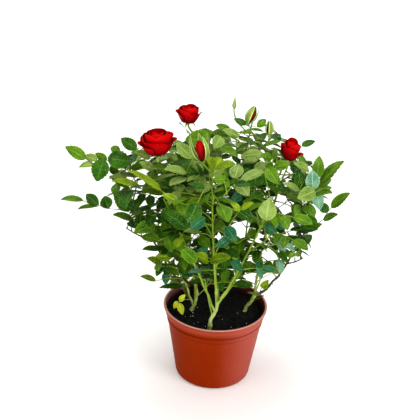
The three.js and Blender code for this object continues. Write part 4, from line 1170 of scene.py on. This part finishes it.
sprig = {"cane": 2, "at": 0.1, "seed": 7, "leaflets": [
    # foot, tip, width, turn and tint of each leaflet
    ((-45, -9, 103), (-38, -9, 113), 0.59, 20, "yellow"),
    ((-47, -9, 103), (-52, -11, 93), 0.60, 20, "yellow"),
    ((-45, -10, 101), (-40, -19, 90), 0.56, 0, "yellow")]}
sprigLeaf = seenLeaf(caneCurves[sprig["cane"]], sprig["at"], sprig["leaflets"])
stalks = dressMass("sprig", [sprigLeaf], sprig["seed"], "young_leaf", "yellow_sprig")
growLimbs("twigs_sprig", stalks, limb["twigSides"], limb["twigRelief"], twigFinish, "yellow_sprig")


# Petals: set one inside the other round a spiral, each with its own map

petal = {"columns": 12, "rows": 11, "wave": 0.025, "halfOuter": 56, "halfInner": 88, "spiral": 0.07,
         "corner": 0.26, "outermost": 0.94, "innermost": 0.13, "fullFrom": 6, "seed": 60}


def petalPoints(head, k, draw):
    # one petal: out from the foot, up the side, and over at the lip
    inwards = k / (head["petals"] - 1)
    reach = head["width"] / 2 * head["girth"]
    reach *= petal["outermost"] - (petal["outermost"] - petal["innermost"]) * inwards ** 1.5
    tall = head["low"] + (1 - head["low"]) * min(1, k / petal["fullFrom"])
    tall *= 0.96 + 0.07 * draw()
    tall *= 1 + head["dome"] * inwards
    half = petal["halfOuter"] + (petal["halfInner"] - petal["halfOuter"]) * inwards
    half = math.radians(half + head["wrap"])
    turnsIn = head["closeFrom"]  # how far up the petal starts to bend at its lip
    lip = head["lip"] * (0.85 + 0.3 * draw()) if k < head["flared"] else head["lastLip"] * inwards
    bearing = math.radians(head["turn"] + 137.5 * k + 14 * (draw() - 0.5))
    wobble = 6.28 * draw()
    points, maps = [], []
    for i in range(petal["rows"] + 1):
        for j in range(petal["columns"] + 1):
            v, u = i / petal["rows"], 2 * j / petal["columns"] - 1
            up = v * (1 - petal["corner"] * abs(u) ** 3)
            over = max(0, up - turnsIn) / (1 - turnsIn)
            r = reach * (0.10 + 0.90 * up ** head["belly"]) * (1 + petal["spiral"] * u)
            r *= 1 + lip * over ** 2 * (1 - 0.4 * u * u) + petal["wave"] * math.sin(5 * u + wobble) * up
            z = head["height"] * (head["core"] * tall * up ** 1.15 - 0.5)
            z -= head["height"] * 0.3 * max(0, lip) * over ** 2
            angle = bearing + u * half * (0.45 + 0.55 * math.sin(math.pi / 2 * min(1, 1.6 * v)))
            points.append((r * math.cos(angle), r * math.sin(angle), z))
            maps.append((0.5 + 0.5 * u, v))
    return points, maps


def gridFaces(first, rows, columns):
    step = columns + 1
    return [(first + i * step + j, first + i * step + j + 1,
             first + (i + 1) * step + j + 1, first + (i + 1) * step + j)
            for i in range(rows) for j in range(columns)]


def headMesh(name, head, points, faces, finishes, *materials):
    # a mesh built round the head's own axis, leaned and carried to its place
    mesh = meshFrom(name, [Vector(p) * mm for p in points], faces)
    lean = Matrix.Rotation(math.radians(head["lean"]), 4, "Y")
    mesh.transform(Matrix.Translation(Vector(head["at"]) * mm) @ lean)
    for material in materials:
        mesh.materials.append(material)
    mesh.polygons.foreach_set("material_index", finishes)
    return mesh


def petalHead(name, head):
    draw = seeded(petal["seed"] + len(name))
    points, maps, faces, finishes = [], [], [], []
    for k in range(head["petals"]):
        own, ownMaps = petalPoints(head, k, draw)
        faces += gridFaces(len(points), petal["rows"], petal["columns"])
        # the outermost petals take the darker copy, a painted shade
        finishes += [int(k < head["dark"])] * (petal["rows"] * petal["columns"])
        points += own
        maps += ownMaps
    mesh = headMesh(f"petals_{name}", head, points, faces, finishes, petalFinish, darkPetalFinish)
    addMap(mesh, "petal", maps)
    settle(place(mesh.name, mesh), "red_petal", name)


# Sepals: reach is in half widths of the head and rise in its heights, from foot to tip

sepalForms = {
    "open": {"reach": (0.10, 0.30, 0.48, 0.60, 0.72), "rise": (0.0, 0.04, 0.02, -0.06, -0.2),
             "wide": 1.9, "hip": 2.3},
    "cup": {"reach": (0.12, 0.36, 0.52, 0.62, 0.74), "rise": (0.0, 0.05, 0.06, -0.02, -0.14),
            "wide": 1.7, "hip": 2.0},
    "opening": {"reach": (0.30, 1.15, 1.60, 1.50, 1.15), "rise": (0.0, 0.20, 0.48, 0.82, 1.15),
                "wide": 4.2, "hip": 2.4},
    "bud": {"reach": (0.26, 0.86, 0.96, 0.62, 0.16), "rise": (0.0, 0.24, 0.52, 0.82, 1.06),
            "wide": 4.7, "hip": 2.1},
    "spire": {"reach": (0.26, 0.95, 0.80, 0.26, 0.06), "rise": (0.0, 0.20, 0.45, 0.80, 1.18),
              "wide": 2.0, "hip": 1.4},
}
sepal = {"count": 5, "rows": 12, "columns": 6, "hipSides": 14, "hipRows": 8, "seed": 90}


def sepalPatch(head, form, bearing, splay):
    # a green strip that follows its own curve and wraps round the head
    knots = [0, 0.25, 0.5, 0.75, 1]
    reach = np.polyfit(knots, form["reach"], 4)
    rise = np.polyfit(knots, form["rise"], 4)
    points = []
    for i in range(sepal["rows"] + 1):
        v = i / sepal["rows"]
        half = head.get("sepalWidth", form["wide"]) * math.sin(math.pi * (0.1 + 0.9 * v)) ** 0.8
        half *= 1 - 0.25 * v
        r = head["width"] / 2 * (np.polyval(reach, v) + splay * v ** 2)
        z = head["height"] * (np.polyval(rise, v) - 0.5)
        for j in range(sepal["columns"] + 1):
            across = (2 * j / sepal["columns"] - 1) * half
            angle = math.radians(bearing) + across / max(r, 2.0)
            points.append((r * math.cos(angle), r * math.sin(angle), z))
    return points


def hipPoints(head, hip):
    # the swollen foot of the flower, closed at both ends
    points = []
    for i in range(sepal["hipRows"] + 1):
        v = i / sepal["hipRows"]
        r = hip * (math.sin(math.pi * v) ** 0.7 if v < 0.7 else 0.84 - 1.1 * (v - 0.7))
        r = 0 if i in (0, sepal["hipRows"]) else r
        for j in range(sepal["hipSides"] + 1):
            angle = 2 * math.pi * j / sepal["hipSides"]
            points.append((r * math.cos(angle), r * math.sin(angle),
                           -head["height"] / 2 + hip * (1.8 * v - 1.3)))
    return points


def sepalHead(name, head):
    form = sepalForms[head["form"]]
    draw = seeded(sepal["seed"] + len(name))
    points, faces, finishes = [], [], []
    fivefold = [(head["turn"] + 72 * k, 0.1 * (draw() - 0.2)) for k in range(sepal["count"])]
    edges = (0, sepal["columns"] - 1)
    for bearing, splay in head.get("sepals", fivefold):
        faces += gridFaces(len(points), sepal["rows"], sepal["columns"])
        finishes += [int(j in edges) for j in range(sepal["columns"])] * sepal["rows"]
        points += sepalPatch(head, form, bearing, splay)
    faces += gridFaces(len(points), sepal["hipRows"], sepal["hipSides"])
    finishes += [0] * (sepal["hipRows"] * sepal["hipSides"])
    points += hipPoints(head, form["hip"] * head["hip"])
    mesh = headMesh(f"sepals_{name}", head, points, faces, finishes, sepalFinish, paleEdgeFinish)
    outwards(mesh, merge=0.00001)
    settle(place(mesh.name, mesh), "green_bud", name)


stalk = {"foot": 1.2, "neck": 0.95, "sides": 10, "phase": 9, "step": 2.0}


def growStalk(name, head):
    # bends up from its cane into the axis of the head
    tilt = math.radians(head["lean"])
    axis = np.array([math.sin(tilt), 0, math.cos(tilt)])
    neck = np.array(head["at"], float) - axis * head["height"] / 2
    foot = onCurve(caneCurves[head["cane"]], head["from"])
    bend = neck - axis * np.linalg.norm(neck - foot) * 0.45
    path = limbPath(
        (foot, bend, neck), 0, 1,
        lambda t: (stalk["foot"] + (stalk["neck"] - stalk["foot"]) * t) * head["slim"],
        stalk["phase"], stalk["step"])
    growLimbs(f"stalk_{name}", [path], stalk["sides"], limb["twigRelief"], twigFinish, name)


for name, head in heads.items():
    petalHead(name, head)
    sepalHead(name, head)
    growStalk(name, head)
print("blooms and buds made")


# Pot: a lathe of the moulded outline, cut by the drainage holes and their channels

pot = {"height": 98, "rimRadius": 65, "lipHeight": 2.6, "lipOverhang": 1.1, "collarHeight": 15,
       "collarRadius": 60.9, "bandHeight": 6, "stepDepth": 1.0, "footRadius": 47.8,
       "cornerRadius": 6, "cornerParts": 8, "wall": 1.6, "floor": 2.2, "drainCount": 5,
       "drainRadius": 4, "drainDepth": 8, "drainSides": 28, "drainRing": 33, "channelWidth": 11,
       "channelDepth": 1.2, "channelStart": 25, "channelPast": 4, "sides": 180,
       "inside": (0.004, 0.0965)}


def potLevels():
    # the feet of the collar and of the band, and how far out the wall reaches below them
    collarFoot = pot["height"] - pot["collarHeight"]
    return collarFoot, collarFoot - pot["bandHeight"], pot["collarRadius"] - 0.9 - pot["stepDepth"]


def potOutline():
    # radius and height, up the outside and down the inside
    collarFoot, bandFoot, wallTop = potLevels()
    corner, foot, wall, step = (pot[k] for k in ("cornerRadius", "footRadius", "wall", "stepDepth"))
    collar, rim, height = pot["collarRadius"], pot["rimRadius"], pot["height"]
    lip, lipFoot = rim - pot["lipOverhang"], height - pot["lipHeight"]
    outline = [(0, 0)]
    for k in range(pot["cornerParts"] + 1):
        angle = math.pi / 2 * k / pot["cornerParts"]
        outline.append((foot - corner + corner * math.sin(angle), corner - corner * math.cos(angle)))
    return outline + [
        (wallTop - 0.1, bandFoot - 1.6), (wallTop + 0.1, bandFoot - 1.0),
        (wallTop + step - 0.2, bandFoot - 0.2), (wallTop + step, bandFoot + 0.2),
        (collar - 0.1, collarFoot - 0.9), (collar - 0.1, collarFoot - 0.5),
        (collar - 0.8, collarFoot - 0.1), (collar - 0.8, collarFoot + 0.3),
        (collar, collarFoot + 0.9), (collar + 0.3, collarFoot + 1.4), (collar + 1.7, height - 8.5),
        (lip - 0.2, lipFoot - 0.4), (lip, lipFoot), (rim - 0.3, lipFoot + 0.2),
        (rim, lipFoot + 0.7), (rim, height - 0.7), (rim - 0.25, height - 0.2), (rim - 0.7, height),
        (lip - wall + 0.4, height), (lip - wall, height - 0.4), (collar + 1.7 - wall, height - 9.5),
        (collar - 0.4 - wall, collarFoot), (wallTop - wall, bandFoot - 1.6),
        (foot - wall - 0.4, corner), (foot - corner, pot["floor"]), (0, pot["floor"])]


def latheMesh(name, outline, sides):
    points, faces = [], []
    for radius, z in outline:
        if radius == 0:
            points.append((0, 0, z * mm))
            continue
        for j in range(sides):
            angle = 2 * math.pi * j / sides
            points.append((radius * math.cos(angle) * mm, radius * math.sin(angle) * mm, z * mm))
    last = len(points) - 1
    rings = len(outline) - 2
    for j in range(sides):
        following = (j + 1) % sides
        faces.append((0, 1 + following, 1 + j))
        for i in range(rings - 1):
            a, b = 1 + i * sides + j, 1 + i * sides + following
            faces.append((a, b, b + sides, a + sides))
        faces.append((last, last - sides + j, last - sides + following))
    mesh = meshFrom(name, points, faces)
    outwards(mesh)
    return mesh


def addDrain(work, turn):
    bmesh.ops.create_cone(
        work, cap_ends=True, segments=pot["drainSides"], radius1=pot["drainRadius"] * mm,
        radius2=pot["drainRadius"] * mm, depth=pot["drainDepth"] * mm,
        matrix=turn @ Matrix.Translation((pot["drainRing"] * mm, 0, 0)))


def addChannel(work, turn):
    length = pot["footRadius"] + pot["channelPast"] - pot["channelStart"]
    size = Matrix.Diagonal((length * mm, pot["channelWidth"] * mm, 2 * pot["channelDepth"] * mm, 1))
    shift = Matrix.Translation(((pot["channelStart"] + length / 2) * mm, 0, 0))
    bmesh.ops.create_cube(work, size=1, matrix=turn @ shift @ size)


def cutAway(piece, name, addShape):
    # takes the same shape out of the piece at every drain
    work = bmesh.new()
    for k in range(pot["drainCount"]):
        addShape(work, Matrix.Rotation(2 * math.pi * (k + 0.5) / pot["drainCount"], 4, "Z"))
    mesh = bpy.data.meshes.new(name)
    work.to_mesh(mesh)
    work.free()
    cutter = place(name, mesh)
    cut = piece.modifiers.new("cut", "BOOLEAN")
    cut.operation = "DIFFERENCE"
    cut.solver = "EXACT"
    cut.object = cutter
    applied(piece)
    bpy.data.objects.remove(cutter)


potPiece = place("pot_shell", latheMesh("pot_shell", potOutline(), pot["sides"]))
cutAway(potPiece, "drainCutter", addDrain)
cutAway(potPiece, "channelCutter", addChannel)
potPiece.data.materials.clear()
potPiece.data.materials.append(potFinish)
potPiece.data.materials.append(potInsideFinish)
insideFrom, insideTo = pot["inside"]
for face in potPiece.data.polygons:  # the inner wall, up to just under the lip
    inward = face.normal.x * face.center.x + face.normal.y * face.center.y < -0.001
    face.material_index = int(inward and insideFrom < face.center.z < insideTo)
settle(potPiece, "pot_plastic", "pot")
print("pot turned")


# Soil: a rough disc of peat, with crumbs and perlite scattered over it

soil = {"top": 86, "clearance": 0.3, "relief": 1.1, "rings": 44, "sides": 120, "crumbs": 60000.0,
        "crumbSize": 1.4, "perlite": 3600.0, "perliteSize": 1.9, "seed": 3}


def soilOutline():
    # the inside of the pot with some room round it, and rings across the top for the relief
    collarFoot, bandFoot, wallTop = potLevels()
    room = 2 * soil["clearance"]
    inside = pot["footRadius"] - pot["wall"] - 0.4
    edge = pot["collarRadius"] + 0.2 - pot["wall"] - room
    low, high = pot["floor"] + soil["clearance"], soil["top"] - soil["relief"]
    outline = [(0, low), (pot["footRadius"] - pot["cornerRadius"] - room, low),
               (inside - room, pot["cornerRadius"]), (wallTop - pot["wall"] - room, bandFoot - 1.6),
               (pot["collarRadius"] - 0.4 - pot["wall"] - room, collarFoot)]
    outline += [(edge * (1 - k / soil["rings"]), high) for k in range(soil["rings"])]
    return outline + [(0, high)]


def makeSoilTree():
    # raises the top of the peat by noise and scatters crumbs over it
    tree, given, out = newTree("soilTree", {
        "Relief": 0.001, "Level": 0.08, "Crumbs": 1000.0, "Crumb size": 0.001, "Perlite": 100.0,
        "Perlite size": 0.001, "Seed": 0, "Peat": "Material", "White": "Material"})
    seed = given.outputs["Seed"]
    where = newNode(tree, "GeometryNodeInputPosition")
    parts = newNode(tree, "ShaderNodeSeparateXYZ", {0: where})
    top = newNode(tree, "FunctionNodeCompare", {0: parts.outputs[2], 1: given.outputs["Level"]},
                  data_type="FLOAT", operation="GREATER_THAN")
    spread = remap(tree, noiseOf(tree, where, 130.0, 5.0, 0.65), 0.3, 0.7, -0.6, 0.7)
    shift = newNode(tree, "ShaderNodeCombineXYZ", {
        2: sums(tree, "MULTIPLY", spread, given.outputs["Relief"])})
    rough = newNode(tree, "GeometryNodeSetPosition", {
        "Geometry": given, "Selection": top, "Offset": shift})
    crumb = newNode(tree, "GeometryNodeMeshIcoSphere", {"Radius": 0.5, "Subdivisions": 1})
    made = [paint(tree, rough, given.outputs["Peat"])]
    for amount, size, finish, low in (("Crumbs", "Crumb size", "Peat", 0.35),
                                      ("Perlite", "Perlite size", "White", 0.25)):
        spots = newNode(tree, "GeometryNodeDistributePointsOnFaces", {
            "Mesh": rough, "Selection": top, "Density": given.outputs[amount], "Seed": seed})
        ratio = newNode(tree, "FunctionNodeRandomValue", {
            0: (low, low, low * 0.7), 1: (1.5, 1.2, 0.9), "Seed": seed}, data_type="FLOAT_VECTOR")
        turn = newNode(tree, "FunctionNodeRandomValue", {
            0: (0, 0, 0), 1: (6.28, 6.28, 6.28), "Seed": seed}, data_type="FLOAT_VECTOR")
        scale = newNode(tree, "ShaderNodeVectorMath", {0: ratio, "Scale": given.outputs[size]},
                        operation="SCALE")
        made.append(paint(tree, setOut(tree, spots, crumb, turn, scale), given.outputs[finish]))
    join = newNode(tree, "GeometryNodeJoinGeometry")
    for part in made:
        feed(tree, join, {0: part})
    feed(tree, out, {0: join})
    return tree


soilPiece = runTree("peat", latheMesh("peat", soilOutline(), soil["sides"]), makeSoilTree(), {
    "Relief": soil["relief"] * mm * 2, "Level": (soil["top"] - soil["relief"] - 0.2) * mm,
    "Crumbs": soil["crumbs"], "Crumb size": soil["crumbSize"] * mm, "Perlite": soil["perlite"],
    "Perlite size": soil["perliteSize"] * mm, "Seed": soil["seed"], "Peat": peatFinish,
    "White": perliteFinish})
settle(soilPiece, "peat", "potting_soil")
print("soil filled")


# Floor, light and camera

studio = {"floor": 6.0, "floorShade": (0.93, 0.93, 0.93), "sky": 0.62, "glow": 0.5,
          "glowFrom": 0.5, "glowTo": 2.0}
lights = [  # name, place, size, power, colour
    ("window", (1.2, -1.1, 1.5), 1.0, 15.0, (1.0, 0.97, 0.94)),
    ("fill", (-1.5, -0.9, 0.9), 1.4, 7.0, (1.0, 0.96, 0.90)),
    ("front", (0.1, -1.7, 0.30), 1.2, 20.0, (1.0, 0.98, 0.93)),
    ("top", (-0.1, 0.4, 1.9), 0.9, 14.0, (1.0, 1.0, 0.98)),
]


def makeFloor():
    # far from the plant the paper glows more with distance, a painted light
    half = studio["floor"] / 2
    mesh = meshFrom("floor", [(-half, -half, 0), (half, -half, 0), (half, half, 0), (-half, half, 0)],
                    [(0, 1, 2, 3)])
    material, tree, shader, spot = newMaterial("floorPaper")
    away = newNode(tree, "ShaderNodeVectorMath", {0: spot}, operation="LENGTH").outputs["Value"]
    # a painted glow that rises with the distance from the plant
    glow = remap(tree, away, studio["glowFrom"], studio["glowTo"], 0.0, studio["glow"])
    feed(tree, shader, {"Base Color": (*studio["floorShade"], 1), "Roughness": 0.9,
                        "Emission Color": (1, 1, 1, 1), "Emission Strength": glow})
    mesh.materials.append(material)
    place("floor", mesh)


def makeLights():
    for name, spot, size, power, colour in lights:
        data = bpy.data.lights.new(name, "AREA")
        data.size = size
        data.energy = power
        data.color = colour
        lamp = place(name, data)
        lamp.location = spot
        lamp.rotation_mode = "QUATERNION"
        lamp.rotation_quaternion = (Vector((0, 0, 0.2)) - Vector(spot)).to_track_quat("-Z", "Y")
    world = bpy.data.worlds.new("studio")
    world.use_nodes = True
    feed(world.node_tree, world.node_tree.nodes["Background"], {
        "Color": (1.0, 1.0, 1.0, 1.0), "Strength": studio["sky"]})
    bpy.context.scene.world = world
    look = bpy.context.scene.view_settings
    look.view_transform = "Standard"
    look.look = "Medium High Contrast"


camera = {"place": (0.0, -0.94288, 0.66454), "down": 24.932, "yaw": -0.766, "roll": 2.8,
          "lens": 74.657, "sensor": 36, "near": 0.01, "far": 50}


def makeCamera():
    down, yaw, roll = (math.radians(camera[k]) for k in ("down", "yaw", "roll"))
    ahead = np.array([math.sin(yaw) * math.cos(down), math.cos(yaw) * math.cos(down), -math.sin(down)])
    right = np.array([math.cos(yaw), -math.sin(yaw), 0])
    up = np.cross(right, ahead)
    rolledRight = math.cos(roll) * right + math.sin(roll) * up
    rolledUp = math.cos(roll) * up - math.sin(roll) * right
    data = bpy.data.cameras.new("camera")
    data.lens = camera["lens"]
    data.sensor_width = camera["sensor"]
    data.clip_start = camera["near"]
    data.clip_end = camera["far"]
    eye = place("camera", data)
    turn = Matrix(np.array([rolledRight, rolledUp, -ahead]).T).to_4x4()
    eye.matrix_world = Matrix.Translation(camera["place"]) @ turn
    bpy.context.scene.camera = eye


makeFloor()
makeLights()
makeCamera()

print("scene ready")
